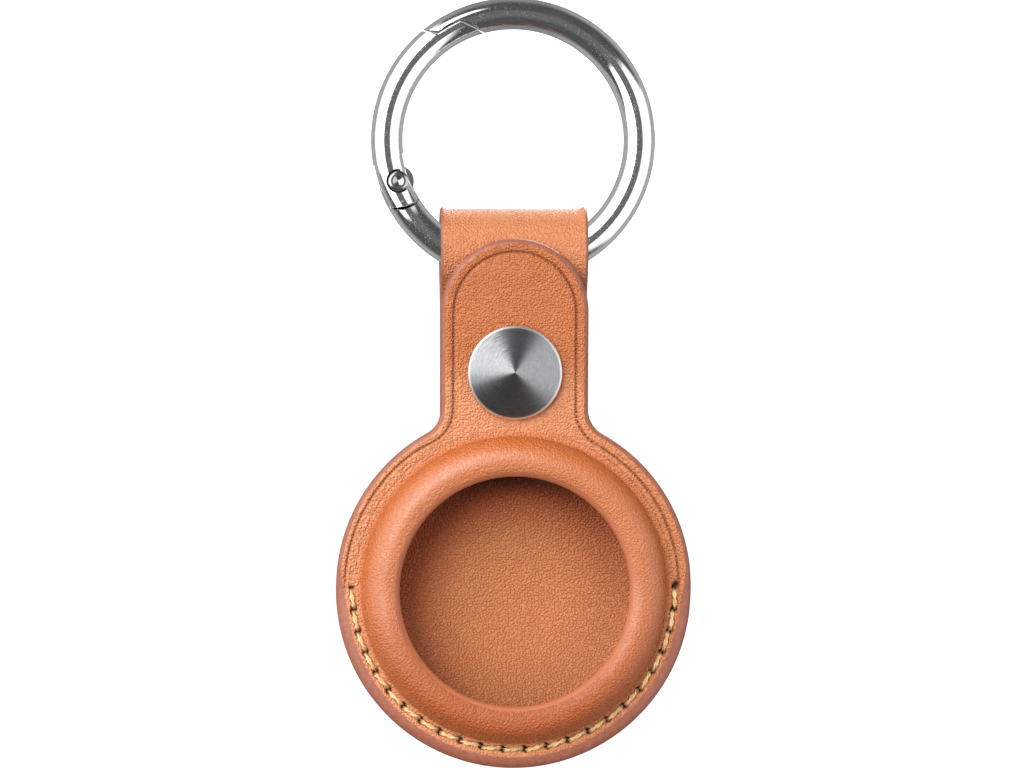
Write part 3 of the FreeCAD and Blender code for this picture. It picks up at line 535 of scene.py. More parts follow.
def grid_piece(name, grids, wrap_rows, wrap_columns, marks=None):
    """Makes one mesh of grids of points (grids, rows, columns, 3). A face spans two rows and two columns,
    a wrapped direction closes on itself, and points that fall together at a pole are joined."""
    count, rows, columns = grids.shape[:3]
    index = np.arange(count * rows * columns).reshape(count, rows, columns)
    if wrap_rows:
        index = np.concatenate([index, index[:, :1]], axis=1)
    if wrap_columns:
        index = np.concatenate([index, index[:, :, :1]], axis=2)
    corners = [index[:, :-1, :-1], index[:, :-1, 1:], index[:, 1:, 1:], index[:, 1:, :-1]]
    faces = np.stack(corners, axis=-1).reshape(-1, 4)
    mesh = bpy.data.meshes.new(name)
    mesh.vertices.add(index.max() + 1)
    mesh.vertices.foreach_set("co", grids.reshape(-1).astype(np.float32))
    mesh.loops.add(faces.size)
    mesh.loops.foreach_set("vertex_index", faces.reshape(-1).astype(np.int32))
    mesh.polygons.add(len(faces))
    mesh.polygons.foreach_set("loop_start", np.arange(0, faces.size, 4, dtype=np.int32))
    for mark, values in (marks or {}).items():
        layer = mesh.attributes.new(mark, "FLOAT", "POINT")
        layer.data.foreach_set("value", np.broadcast_to(values, grids.shape[:3]).reshape(-1).astype(np.float32))
    mesh.update(calc_edges=True)
    weld(mesh)
    mesh.shade_smooth()
    return add_object(name, mesh)


def weld(mesh):
    """Joins points of a mesh that lie together and drops the faces that had no area."""
    work = bmesh.new()
    work.from_mesh(mesh)
    bmesh.ops.remove_doubles(work, verts=work.verts, dist=1e-7)
    bmesh.ops.dissolve_degenerate(work, edges=work.edges, dist=1e-8)
    work.to_mesh(mesh)
    work.free()


def full_turn(count):
    """Even angles once round a circle."""
    return np.linspace(0.0, 2.0 * math.pi, count, endpoint=False)


def lathe(reach, height, columns):
    """Points of a profile (reach from the axis, height along it) carried round the Y axis."""
    angle = full_turn(columns)[None, :]
    across = reach[:, None] * np.cos(angle)
    up = reach[:, None] * np.sin(angle)
    depth = np.broadcast_to(height[:, None], across.shape)
    return np.stack([across, depth, up], axis=-1)[None]


def smooth_copy(node, name, sharp):
    """Copy of a solid's mesh, joined up and shaded smooth up to an angle between its faces."""
    mesh = frame["nodes"][node].data.copy()
    mesh.name = name
    weld(mesh)
    mesh.shade_smooth()
    mesh.set_sharp_from_angle(angle=math.radians(sharp))
    return add_object(name, mesh)


def read(items, key, width, kind=np.float32):
    """One value of all the points, corners or faces of a mesh, as an array."""
    values = np.empty(len(items) * width, kind)
    items.foreach_get(key, values)
    return values.reshape(-1, width)


def round_wire_normals(mesh):
    """Gives the corners that lie on the ring's round wire the exact normal of a torus: away from the
    nearest point of the circle in the wire's middle."""
    corners = read(mesh.loops, "vertex_index", 1, np.int32)[:, 0]
    points = read(mesh.vertices, "co", 3)[corners].astype(float)
    normals = read(mesh.corner_normals, "vector", 3).astype(float)
    totals = read(mesh.polygons, "loop_total", 1, np.int32)[:, 0]
    sides = np.repeat(read(mesh.polygons, "normal", 3), totals, axis=0)
    reach = np.hypot(points[:, 0], points[:, 2])
    shrink = (reach - RING_RADIUS) / reach
    exact = np.stack([points[:, 0] * shrink, points[:, 1], points[:, 2] * shrink], axis=-1)
    length = np.linalg.norm(exact, axis=1)
    exact /= length[:, None]
    near_wire = np.abs(length - WIRE_RADIUS) < 0.02 * MM
    on_wire = near_wire & ((exact * sides).sum(axis=1) > 0.94)
    normals[on_wire] = exact[on_wire]
    mesh.normals_split_custom_set(normals.tolist())


# Leather pieces

def shoulder_fillet():
    """Middle of the fillet between the body and the strap, and the angle on the body where it starts."""
    across = STRAP_HALF + NECK_FILLET
    up = math.sqrt((BODY_RADIUS + NECK_FILLET) ** 2 - across ** 2)
    return across, up, math.atan2(up, across)


def front_outline(columns):
    """Outline of the front leather, anticlockwise from its lowest point: round body, neck fillet, straight side
    and round tongue, then the same mirrored. Gives the points, the outward directions, the angle on the
    bead's circle that each point faces, and the length along the outline."""
    fillet_across, fillet_up, shoulder = shoulder_fillet()
    tongue_middle = TONGUE_TOP - STRAP_HALF
    lengths = np.array([
        BODY_RADIUS * (shoulder + math.pi / 2), NECK_FILLET * shoulder,
        tongue_middle - fillet_up, STRAP_HALF * math.pi / 2])
    ends = np.concatenate([[0.0], np.cumsum(lengths)])
    quarter, quarter_share = BODY_RADIUS * math.pi / 2, 0.54
    share = np.linspace(0.0, 1.0, columns // 2 + 1)
    run = np.interp(share, [0.0, quarter_share, 1.0], [0.0, quarter, ends[-1]])
    body = run / BODY_RADIUS - math.pi / 2
    neck = shoulder + math.pi - (run - ends[1]) / NECK_FILLET
    tip = (run - ends[3]) / STRAP_HALF
    part = [run <= ends[1], run <= ends[2], run <= ends[3]]
    across = np.select(part, [
        BODY_RADIUS * np.cos(body), fillet_across + NECK_FILLET * np.cos(neck), STRAP_HALF + 0.0 * run,
    ], STRAP_HALF * np.cos(tip))
    up = np.select(part, [
        BODY_RADIUS * np.sin(body), fillet_up + NECK_FILLET * np.sin(neck), fillet_up + run - ends[2],
    ], tongue_middle + STRAP_HALF * np.sin(tip))
    out_across = np.select(part, [np.cos(body), -np.cos(neck), 1.0 + 0.0 * run], np.cos(tip))
    out_up = np.select(part, [np.sin(body), -np.sin(neck), 0.0 * run], np.sin(tip))
    facing = np.interp(run, ends, [-math.pi / 2, shoulder, math.radians(70), math.radians(80), math.pi / 2])
    points = np.stack([both_halves(across, -across), both_halves(up, up)], axis=-1)
    outward = np.stack([both_halves(out_across, -out_across), both_halves(out_up, out_up)], axis=-1)
    along = both_halves(run, 2.0 * ends[-1] - run)
    return points, outward, both_halves(facing, math.pi - facing), along


def both_halves(right, left):
    """Values up the right half of an outline and then down its left half, without doubling the two ends."""
    return np.concatenate([right, left[-2:0:-1]])


def hole_distance(across, up):
    """Distance to the nearest hole of the seam, 1 at its edge. The holes sit at even angles on the lower half
    of a circle, each a slanted diamond."""
    pitch = math.pi / STITCHES
    up = up - SEAM_RISE
    angle = np.arctan2(up, across)
    number = np.clip(np.round(-angle / pitch), 0, STITCHES)
    number = np.where(angle > math.pi / 2, STITCHES, number)
    along = SEAM_RADIUS * (angle + number * pitch)
    outward = np.hypot(across, up) - SEAM_RADIUS
    power = 1.3
    share = np.abs(along / HOLE_LENGTH) ** power + np.abs((outward - 0.3 * along) / HOLE_WIDTH) ** power
    return share ** (1.0 / power)


def seam_marks(across, up):
    """How much of the lower half, of a hole of the seam and of the groove under its stitches is at a point."""
    lower = 1.0 - smooth(-0.5 * MM, 0.8 * MM, up)
    hole = smooth(1.15, 0.5, hole_distance(across, up))
    groove = bell(np.hypot(across, up - SEAM_RISE), SEAM_RADIUS, 0.3 * MM) * lower
    return lower, hole, groove


def front_rows(outline, outward, facing, sewn, bevel):
    """Rows of the front's section from the outline inwards and back: painted edge, border, rim, foot of the
    bead, bead, lip, hollow of the bead, and back. Gives their points in plan, their depths, the distances of
    the first ones from the outline, and the numbers of the first rows of the lip and of the rough side."""
    back_bevel = (0.32 - 0.24 * sewn) * MM
    level = PLY_BACK - (0.45 - 0.30 * sewn) * MM
    turn = np.radians(np.linspace(-80.0, 90.0, 18))[:, None]
    edge_inset = np.where(turn >= 0.0, bevel, back_bevel) * (1.0 - np.cos(turn))
    edge_depth = level - np.where(turn >= 0.0, level - FRONT_FACE, PLY_BACK - level) * np.sin(turn)
    share = np.linspace(0.0, 1.0, 21)[1:, None]
    border_inset = bevel + (BORDER - bevel) * share
    border_depth = np.full_like(border_inset, FRONT_FACE)
    insets = np.concatenate([edge_inset, border_inset])
    edge_plan = outline[None] - insets[..., None] * outward[None]

    circle = np.stack([np.cos(facing), np.sin(facing)], axis=-1)
    bead_outline = (BEAD_FOOT + FOOT_FILLET) * circle[None]
    fill_share = np.linspace(0.0, 1.0, 25)[1:, None, None]
    fill_plan = edge_plan[-1][None] * (1.0 - fill_share) + bead_outline * fill_share
    fill_depth = np.full(fill_plan.shape[:2], FRONT_FACE)

    bead_level = FRONT_FACE - FOOT_FILLET
    sweep = np.radians(np.linspace(0.0, 90.0, 8))[1:]
    foot_reach = BEAD_FOOT + FOOT_FILLET * (1.0 - np.sin(sweep))
    foot_depth = FRONT_FACE - FOOT_FILLET * (1.0 - np.cos(sweep))
    over = np.linspace(0.0, LIP_ANGLE, 29)[1:]
    bead_reach = BEAD_MIDDLE + np.where(np.cos(over) > 0.0, BEAD_OUTSIDE, BEAD_RADIUS) * np.cos(over)
    bead_depth = bead_level - BEAD_RADIUS * np.sin(over)
    lip_turn = np.radians(np.linspace(0.0, 180.0, 15))[1:-1]
    lip_ray = BEAD_RADIUS - FRONT_PLY / 2 + FRONT_PLY / 2 * np.cos(lip_turn)
    lip_out = LIP_OUT * np.sin(lip_turn)
    lip_reach = BEAD_MIDDLE + lip_ray * math.cos(LIP_ANGLE) - lip_out * math.sin(LIP_ANGLE)
    lip_depth = bead_level - lip_ray * math.sin(LIP_ANGLE) - lip_out * math.cos(LIP_ANGLE)
    under = np.linspace(LIP_ANGLE, 0.0, 10)
    hollow_reach = BEAD_MIDDLE + (BEAD_RADIUS - FRONT_PLY) * np.cos(under)
    hollow_depth = bead_level - (BEAD_RADIUS - FRONT_PLY) * np.sin(under)
    wall_reach = hollow_reach[-1] + np.array([0.0, 0.05, 0.2]) * MM
    wall_depth = PLY_BACK - np.array([0.2, 0.05, 0.0]) * MM
    reach = np.concatenate([foot_reach, bead_reach, lip_reach, hollow_reach, wall_reach])
    bead_plan = reach[:, None, None] * circle[None]
    profile_depth = np.concatenate([foot_depth, bead_depth, lip_depth, hollow_depth, wall_depth])
    profile_depth = np.broadcast_to(profile_depth[:, None], bead_plan.shape[:2])

    back_share = np.linspace(1.0, 0.0, 6)[:, None, None]
    back_outer = (outline - 1.4 * MM * outward)[None]
    back_plan = back_outer * (1.0 - back_share) + bead_outline * back_share
    rim_plan = (outline - (back_bevel * 1.4 + 0.1 * MM)[:, None] * outward)[None]
    back_plan = np.concatenate([back_plan, rim_plan])
    back_depth = np.full(back_plan.shape[:2], PLY_BACK)

    plan = np.concatenate([edge_plan, fill_plan, bead_plan, back_plan])
    depth = np.concatenate([edge_depth, border_depth, fill_depth, profile_depth, back_depth])
    lip_row = len(edge_plan) + len(fill_plan) + len(foot_reach) + len(bead_reach)
    return plan, depth, insets, lip_row, lip_row + len(lip_reach)


def front_leather():
    """The moulded front as one closed sheet. One parameter runs round the outline. The other runs round the
    sheet's section: up the painted edge, in over the creased border and the rim, up and over the round bead
    to the lip at the window, then back under it all. The upper half then leans forward about the hinge line."""
    leather = looks("leather")
    outline, outward, facing, along = front_outline(columns=760)
    sewn = 1.0 - smooth(-HINGE_HALF, HINGE_HALF, outline[:, 1])
    bevel = leather.edge_bevel + (leather.rim_bevel - leather.edge_bevel) * sewn
    plan, depth, insets, lip_row, back_row = front_rows(outline, outward, facing, sewn, bevel)
    rows = np.arange(len(plan))[:, None]
    front = rows < lip_row
    across = plan[..., 0]
    up = plan[..., 1]
    radius = np.hypot(across, up)
    inset = np.full(plan.shape[:2], FAR)
    inset[:len(insets)] = insets

    upper = smooth(-1.5 * MM, 1.5 * MM, up)
    lower, hole, groove = seam_marks(across, up)
    hole = hole * front
    groove = groove * front * (inset > leather.rim_bevel * 0.8)
    left_shoulder = smooth(-4.0 * MM, -12.0 * MM, across) * smooth(22.0 * MM, 14.0 * MM, up)
    crease_inset = leather.crease_inset * (1.0 - 0.28 * left_shoulder)
    crease = bell(inset, crease_inset, 0.13 * MM) * upper
    ridge = bell(inset, crease_inset + 0.38 * MM, 0.2 * MM) * upper
    left_low = np.clip((np.arctan2(-up, -across) - 0.25) / 0.75, 0.0, 1.0)
    left_low = np.clip(np.sin(left_low * math.pi), 0.0, 1.0)
    fold = bell(radius, SEAM_RADIUS + 0.62 * MM, 0.1 * MM) * left_low
    fold = fold * (inset > leather.rim_bevel * 0.7) * front
    foot_line = bell(radius, BEAD_FOOT + 0.75 * MM, 0.09 * MM) * smooth(0.0, 4.0 * MM, up)
    foot_line = foot_line * (inset > 1.9 * MM) * front
    crease_all = np.maximum(crease, np.maximum(0.7 * fold, 0.35 * foot_line))
    welt = bell(inset, 0.5 * leather.crease_inset, 0.45 * MM) * upper * front
    depth = depth + leather.crease_depth * crease_all - 0.05 * MM * ridge - 0.1 * MM * welt
    depth = depth + 0.14 * MM * groove + 0.5 * MM * hole * (inset > leather.rim_bevel * 0.6)
    from_cap = np.hypot(across, up - CAP_RISE)
    depth = depth + 0.06 * MM * bell(from_cap, CAP_RADIUS, 0.7 * MM) * front
    on_bead = bell(radius, BEAD_MIDDLE, 2.2 * MM)
    swell = 0.06 * MM * np.sin(3.0 * facing + 0.6) * on_bead
    lean_in = 0.13 * (radius - BEAD_MIDDLE) * on_bead * np.clip(-np.cos(facing), 0.0, 1.0) ** 2
    depth = depth + (swell + lean_in) * (radius < BEAD_FOOT) * front

    points = np.stack([across, depth, up + BODY_UP], axis=-1)
    points = turn_about_hinge(points, FLAP_LEAN * smooth(-HINGE_HALF, HINGE_HALF, up))
    lip_rows = (rows >= lip_row - 1) & (rows < back_row)
    edge_rows = 1.0 - smooth(0.82, 1.02, inset / bevel)
    rim = smooth(BEAD_FOOT, BEAD_FOOT + 0.5 * MM, radius) * smooth(27.0 * MM, 21.0 * MM, up) * front
    pulled = smooth(BEAD_FOOT + 0.1 * MM, BEAD_FOOT - 0.9 * MM, radius) * front
    marks = {
        "paint": np.maximum(edge_rows * front, lip_rows * 0.95),
        "flesh": (rows >= back_row) * 1.0 + 0.0 * across,
        "crease": crease_all,
        "dotted": (np.abs(outward[:, 0]) > 0.55)[None] * crease,
        "lip": lip_rows * 1.0 + 0.0 * across,
        # Paler rim: rubbed leather, and painted light that grows towards the left.
        "paler_rubbed_and_lit": rim * (0.75 - 0.35 * across / BODY_RADIUS),
        "crinkle": bell(radius, BEAD_FOOT + 0.45 * MM, 0.4 * MM) * lower * front,
        # Painted shade on the bead, growing towards the bottom.
        "bead_underside_shade": pulled * smooth(2.0 * MM, -14.0 * MM, up),
        # The holes of the seam, darkened with painted shade.
        "hole": hole,
        # Outer flank of the bead: stretched leather and painted shade.
        "flank_pulled_and_shaded": bell(radius, BEAD_FOOT - 0.45 * MM, 0.75 * MM) * front,
        "pulled": pulled,
        "along": along[None] + 0.0 * across,
    }
    return grid_piece("front_leather", points[None], True, True, marks)


def strap_rows():
    """Rows of the back leather from the lowest point of the body to the folded end: depth and height of the
    middle of the ply, the direction of its outer side, its half width, how far the folded end is, and the
    numbers of rows on the body and before the loop."""
    fillet_across, fillet_up, shoulder = shoulder_fillet()
    loop_middle = LOOP_INNER + BACK_PLY / 2
    span = LOOP_BEND + loop_middle
    bend_across = FOLD_GLUE / 2 + BACK_PLY / 2 + LOOP_BEND
    bend_up = SWING_UP - math.sqrt(span ** 2 - bend_across ** 2)
    lean = math.asin(bend_across / span)
    lift = math.pi / 2 - lean
    fold_end = BODY_RADIUS + 0.3 * MM

    low = [np.linspace(0.0, 14.0, 15), np.linspace(15.5, 90.0 + math.degrees(shoulder), 90)]
    low = np.radians(np.concatenate(low))
    body_up = -BODY_RADIUS * np.cos(low)
    body_half = BODY_RADIUS * np.sin(low)
    neck_up = np.linspace(body_up[-1], fillet_up, 12)[1:]
    neck_half = fillet_across - np.sqrt(np.maximum(NECK_FILLET ** 2 - (fillet_up - neck_up) ** 2, 0.0))
    leg_up = np.linspace(fillet_up, bend_up, 20)[1:]
    flat_up = np.concatenate([body_up, neck_up, leg_up])
    flat_depth = np.full_like(flat_up, BACK_PLY / 2)
    flat_half = np.concatenate([body_half, neck_half, np.full_like(leg_up, STRAP_HALF)])

    back = math.pi - np.linspace(0.0, lift, 18)[1:]
    loop = np.linspace(-lift, math.pi + lift, 90)[1:]
    fore = np.linspace(lift, 0.0, 18)[1:]
    to_fold = np.concatenate([np.linspace(0.0, 0.94, 18)[1:], np.linspace(0.95, 1.0, 9)])
    end_up = bend_up - (bend_up - fold_end) * to_fold
    fore_depth = LOOP_DEPTH - bend_across
    depth = np.concatenate([
        flat_depth, LOOP_DEPTH + bend_across + LOOP_BEND * np.cos(back),
        LOOP_DEPTH + loop_middle * np.cos(loop),
        fore_depth + LOOP_BEND * np.cos(fore), np.full_like(end_up, fore_depth + LOOP_BEND)])
    up = np.concatenate([
        flat_up, bend_up + LOOP_BEND * np.sin(back), SWING_UP + loop_middle * np.sin(loop),
        bend_up + LOOP_BEND * np.sin(fore), end_up])
    side_depth = np.concatenate([
        np.ones_like(flat_up), -np.cos(back), np.cos(loop), -np.cos(fore), -np.ones_like(end_up)])
    side_up = np.concatenate([
        np.zeros_like(flat_up), -np.sin(back), np.sin(loop), -np.sin(fore), np.zeros_like(end_up)])
    half = np.concatenate([flat_half, np.full(len(up) - len(flat_up), STRAP_HALF)])
    to_end = np.concatenate([np.full(len(up) - len(end_up), FAR), end_up - fold_end])
    return depth, up, side_depth, side_up, half, to_end, len(body_up), len(flat_up)


def dish(radius, ball, flat):
    """Depth of a shallow dish: the larger of a ball's depth and a flat one, with a soft corner."""
    ball_depth = DISH_MIDDLE + np.sqrt(ball ** 2 - np.minimum(radius, 0.9 * ball) ** 2)
    return 0.5 * (ball_depth + flat + np.sqrt((ball_depth - flat) ** 2 + (0.35 * MM) ** 2))


def back_leather():
    """The back and the strap as one closed sheet: rows along the strap's path from the body's lowest point,
    up the back, round the ring and down to the folded end; columns across the outer side and back across
    the inner side. Both sides meet in a half round edge, and the round body bulges to the back."""
    depth, up, side_depth, side_up, half, to_end, body_rows, flat_rows = strap_rows()
    span = np.sin(np.linspace(-math.pi / 2, math.pi / 2, 97))
    around = both_halves(span, span)[None, :]
    outer = both_halves(np.ones_like(span), -np.ones_like(span))[None, :]
    across = half[:, None] * around
    height = np.broadcast_to(up[:, None], across.shape)
    radius = np.hypot(across, height)
    rows = np.arange(len(up))[:, None]
    on_body = rows < body_rows
    inset = np.where(on_body, BODY_RADIUS - radius, half[:, None] - np.abs(across))
    inset = np.clip(np.minimum(inset, to_end[:, None]), 0.0, None)
    rounding = 0.42 * MM
    thick = BACK_PLY / 2 * np.sqrt(1.0 - (1.0 - np.clip(inset / rounding, 0.0, 1.0)) ** 2)
    bulge = dish(radius, DISH_RADIUS + LINING_PLY + BACK_PLY / 2, BACK_PLY / 2) - BACK_PLY / 2
    flat = rows < flat_rows
    _, hole, groove = seam_marks(across, height)
    outside = flat * (outer > 0)
    curl = 0.28 * MM * smooth(1.1 * MM, 0.1 * MM, inset) * smooth(2.0 * MM, 3.2 * MM, height - SWING_UP)
    offset = outer * thick - 0.1 * MM * groove * outside + curl
    y = depth[:, None] + side_depth[:, None] * offset + bulge * flat * (radius < BODY_RADIUS)
    z = height + side_up[:, None] * offset
    points = np.stack([across, y, z + BODY_UP], axis=-1)
    marks = {
        "paint": 1.0 - smooth(0.5, 1.0, inset / rounding),
        "flesh": (outer < 0) * smooth(0.6, 1.2, inset / rounding),
        "hole": hole * outside,
        # Paler top of the loop: rubbed leather, and painted light from above.
        "paler_rubbed_and_lit": smooth(2.6 * MM, 4.6 * MM, height - SWING_UP) * 0.75,
        "along": across,
    }
    return grid_piece("back_leather", points[None], False, True, marks)


def pocket_lining():
    """The floor of the pocket as a closed dish: a flat rim and a shallow ball, turned round the body's axis."""
    reach = BODY_RADIUS * np.sin(np.linspace(0.0, math.pi / 2, 90))
    front = dish(reach, DISH_RADIUS, PLY_BACK)
    rear = dish(reach[::-1], DISH_RADIUS + LINING_PLY, PLY_BACK + LINING_PLY)
    reach = np.concatenate([reach, reach[::-1]])
    height = np.concatenate([front, rear])[::-1]
    points = lathe(reach, height, columns=240)
    reach = reach[None, :, None]
    from_middle = np.maximum(reach, MM)
    rise = points[..., 2] / from_middle
    shift = points[..., 0] / from_middle
    points[..., 2] += BODY_UP
    # Painted shade in the pocket: darker near the walls, most towards the upper left, and darkest under the lip
    # at the top.
    wall = smooth(5.0 * MM, 12.5 * MM, reach)
    dark_across, dark_up = -0.423, 0.906
    to_dark = dark_up * rise + dark_across * shift
    marks = {
        "paint": smooth(BODY_RADIUS - 0.35 * MM, BODY_RADIUS - 0.05 * MM, reach),
        "wall": wall * (0.46 + 0.40 * to_dark),
        "recess_shade": wall,
        "shade": smooth(9.6 * MM, 12.8 * MM, reach) * np.clip(rise, 0.0, 1.0) ** 4,
    }
    return grid_piece("pocket_lining_leather", points, False, True, marks)


# Thread and metal pieces

def seam_run(name, face, side, seed):
    """Stitches of one face of the seam: two strands that twist about each other along the arc between two
    holes, rise over the leather and dip into the holes. side is -1 for the front and 1 for the back."""
    thread = looks("thread")
    spread = np.random.default_rng(seed)
    pitch = math.pi / STITCHES
    rows, columns = 40, 11
    share = np.linspace(-0.03, 1.03, rows)[None, None, :, None]
    start = (math.pi + pitch * np.arange(STITCHES))[:, None, None, None]
    wave = spread.normal(0.0, 1.0, (4, STITCHES))[:, :, None, None, None]
    strand = np.array([0.0, math.pi])[None, :, None, None]
    bow = np.abs(2.0 * share - 1.0)
    lift = thread.rise * (1.0 + 0.25 * wave[0]) * (1.0 - bow ** 2) - 0.8 * MM * bow ** 4
    angle = start + pitch * (share + 0.012 * wave[1])
    radius = SEAM_RADIUS + thread.slant * (1.0 + 0.4 * wave[2]) * (1.0 - 2.0 * share)
    phase = 2.0 * math.pi * thread.twist * share + strand + 0.7 * wave[3]
    gap = 0.78 * thread.strand
    radius = radius + gap * np.cos(phase)
    lift = lift + gap * 0.8 * np.sin(phase)
    ring = full_turn(columns)[None, None, None, :] * -side
    section = thread.strand * (1.0 - 0.45 * bow ** 4)
    section[:, :, [0, -1]] = 0.0
    radius = radius + section * np.cos(ring)
    lift = lift + section * np.sin(ring)
    points = np.stack([
        radius * np.cos(angle), face + side * lift, radius * np.sin(angle) + BODY_UP + SEAM_RISE], axis=-1)
    # Painted shade on the thread where it sinks below the leather.
    sunk_shade = smooth(0.05 * MM, -0.3 * MM, lift)
    grids = points.reshape(STITCHES * 2, rows, columns, 3)
    return grid_piece(name, grids, False, True, {"sunk_shade": sunk_shade.reshape(STITCHES * 2, rows, columns)})


def snap_cap():
    """The cap of the snap: a turned profile with a thin polished bevel and a low cone, set on the tongue."""
    cone_height = 0.06 * MM
    shoulder = CAP_HEIGHT - cone_height
    edge_reach = CAP_RADIUS - np.array([0.0, 0.01, 0.04, 0.2, 0.215]) * MM
    edge_height = shoulder - np.array([0.2, 0.14, 0.1, 0.008, 0.0]) * MM
    face_reach = np.linspace(CAP_RADIUS - 0.24 * MM, 0.0, 60)
    face_height = shoulder + cone_height * (1.0 - np.sqrt((face_reach / CAP_RADIUS) ** 2 + 0.004))
    reach = np.concatenate([[0.0, CAP_RADIUS - 0.2 * MM, CAP_RADIUS], edge_reach, face_reach])
    height = np.concatenate([[0.1 * MM, 0.1 * MM, 0.1 * MM], edge_height, face_height])
    points = lathe(reach, FRONT_FACE - height, columns=160)
    points[..., 2] += BODY_UP + CAP_RISE
    points = turn_about_hinge(points, FLAP_LEAN)
    face = smooth(CAP_RADIUS - 0.2 * MM, CAP_RADIUS - 0.26 * MM, reach)
    return grid_piece("snap_cap_face", points, False, True, {"face": face[None, :, None]})


def gate_spring():
    """The gate's spring: a circle swept along the ring's own arc, from inside the gate into the frame's
    notch, with flat ends."""
    angle = np.radians(np.linspace(*SPRING_ARC, 80))[:, None]
    ring = full_turn(24)[None, :]
    section = np.full_like(angle, SPRING_RADIUS)
    section[[0, -1]] = 0.0
    angle[[0, -1]] = angle[[1, -2]]
    radius = RING_RADIUS + section * np.cos(ring)
    points = np.stack([
        radius * np.cos(angle), section * np.sin(ring) + 0.0 * angle, radius * np.sin(angle)], axis=-1)
    return grid_piece("gate_spring_wire", points[None], False, True)


# Stage

def studio_room():
    """Light of the room by direction: dim, with one large soft light on the left and one on the right. Each
    starts a little off the forward axis and is cut off above and below at an angle round that axis. All
    angles are in degrees."""
    stage = looks("stage")
    finish = Finish(bpy.data.worlds.new("studio_room"))
    way = finish.node("ShaderNodeTexCoord", output="Generated")
    x, y, z = (finish.node("ShaderNodeSeparateXYZ", None, {0: way}, output=axis) for axis in "XYZ")
    degrees = 180.0 / math.pi
    off_axis = (y * -1.0).math("ARCCOSINE") * degrees
    left_angle = z.math("ARCTAN2", x * -1.0) * degrees
    right_angle = z.math("ARCTAN2", x) * degrees
    narrow = finish.step(off_axis, 45.0, 90.0)
    tail = finish.step(off_axis, 42.0, 50.0) * finish.step(off_axis, 75.0, 60.0)
    left = finish.step(left_angle - 24.0 * narrow, -38.0, -32.0)
    left = left * finish.step(left_angle - 20.0 * tail, 64.0, 54.0)
    right = finish.step(right_angle - 10.0 * narrow, -60.0, -48.0)
    right = right * finish.step(right_angle + 13.0 * narrow, 40.0, 33.0)
    reach = finish.step(off_axis, 19.0, 25.0) * finish.step(off_axis, 104.0, 84.0)
    sideways = finish.step(x.math("ABSOLUTE"), 0.15, 0.6)
    behind = finish.step(off_axis, 75.0, 115.0) * (0.16 + 0.16 * sideways)
    streak = finish.noise(finish.vector("MULTIPLY", way, (1.0, 1.0, 3.0)), 0.14, detail=3.0)
    nearer = finish.step(off_axis, 70.0, 30.0, 1.0, 1.45)
    glow = reach * (left * nearer * stage.left_light + right * stage.right_light)
    glow = glow + behind * (0.6 + 0.8 * streak)
    near = finish.step(off_axis, 40.0, 10.0, 0.0, 0.06)
    glow = glow + near + stage.dim * (0.35 + 1.3 * streak)
    light = finish.node("ShaderNodeBackground", None, {"Color": (1.0, 1.0, 1.0), "Strength": glow})
    finish.node("ShaderNodeOutputWorld", None, {"Surface": light})
    return finish.owner


def stage_cove():
    """A round floor that curves up into a wall: a profile of a flat, a quarter circle and an upright, turned
    round the upright axis, facing inwards."""
    floor_up = CAD_BOX[0].z - 0.8 * MM
    flat_reach, curve, wall_top = 1.0, 0.6, 3.0
    bend = np.radians(np.linspace(0.0, 90.0, 24))
    reach = np.concatenate([[0.0, 0.4, 0.9], flat_reach + curve * np.sin(bend), [flat_reach + curve]])
    up = floor_up + np.concatenate([[0.0, 0.0, 0.0], curve * (1.0 - np.cos(bend)), [wall_top]])
    angle = full_turn(96)[:, None]
    points = np.stack([reach * np.cos(angle), reach * np.sin(angle), up + 0.0 * angle], axis=-1)
    return grid_piece("pale_cove", points.transpose(1, 0, 2)[::-1][None], False, True)


def floor_finish():
    """Pale matt floor that glows by itself, more towards the top of the wall."""
    finish = Finish(bpy.data.materials.new("pale_floor"))
    up = finish.node("ShaderNodeSeparateXYZ", None, {0: finish.place()}, output="Z")
    glow = finish.step(up, -0.07, 0.5, 0.72, 1.0)
    glow = finish.mix(glow, (0.0, 0.0, 0.0), (1.0, 1.0, 1.0))
    return finish.surface({
        "Base Color": tuple(looks("stage").floor), "Roughness": 0.9, "Specular IOR Level": 0.0,
        "Emission Color": glow, "Emission Strength": 1.0})


def soft_box(name, place, width, height, power):
    """A rectangular soft light that faces the holder."""
    lamp = bpy.data.lights.new(name, "AREA")
    lamp.shape = "RECTANGLE"
    lamp.size = width
    lamp.size_y = height
    lamp.energy = power
    box = add_object(name, lamp)
    box.location = place
    box.rotation_euler = (Vector(STAGE_TARGET) - box.location).to_track_quat("-Z", "Y").to_euler()
    return box


def photograph_camera(scene):
    """A long lens slightly left of square, level with the middle of the picture."""
    lens = bpy.data.cameras.new("camera")
    distance = 0.6
    picture_width = 0.1138
    middle_across, middle_up = -0.13 * MM, -27.1 * MM
    turn = math.radians(-2.3)
    lens.lens = lens.sensor_width * distance / picture_width
    lens.clip_start = 0.01
    lens.clip_end = 20.0
    camera = add_object("camera", lens)
    camera.location = (middle_across + distance * math.sin(turn), -distance * math.cos(turn), middle_up)
    camera.rotation_euler = (math.pi / 2, 0.0, turn)
    scene.camera = camera


# Operators

def dress(piece, material, body, slot, *nodes):
    """Gives a piece its material and the body it rides on, and hides the solids it stands for. The slot is not
    used.
    """
    piece.data.materials.clear()
    piece.data.materials.append(material)
    if body:
        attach(piece, body)
    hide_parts(*nodes)


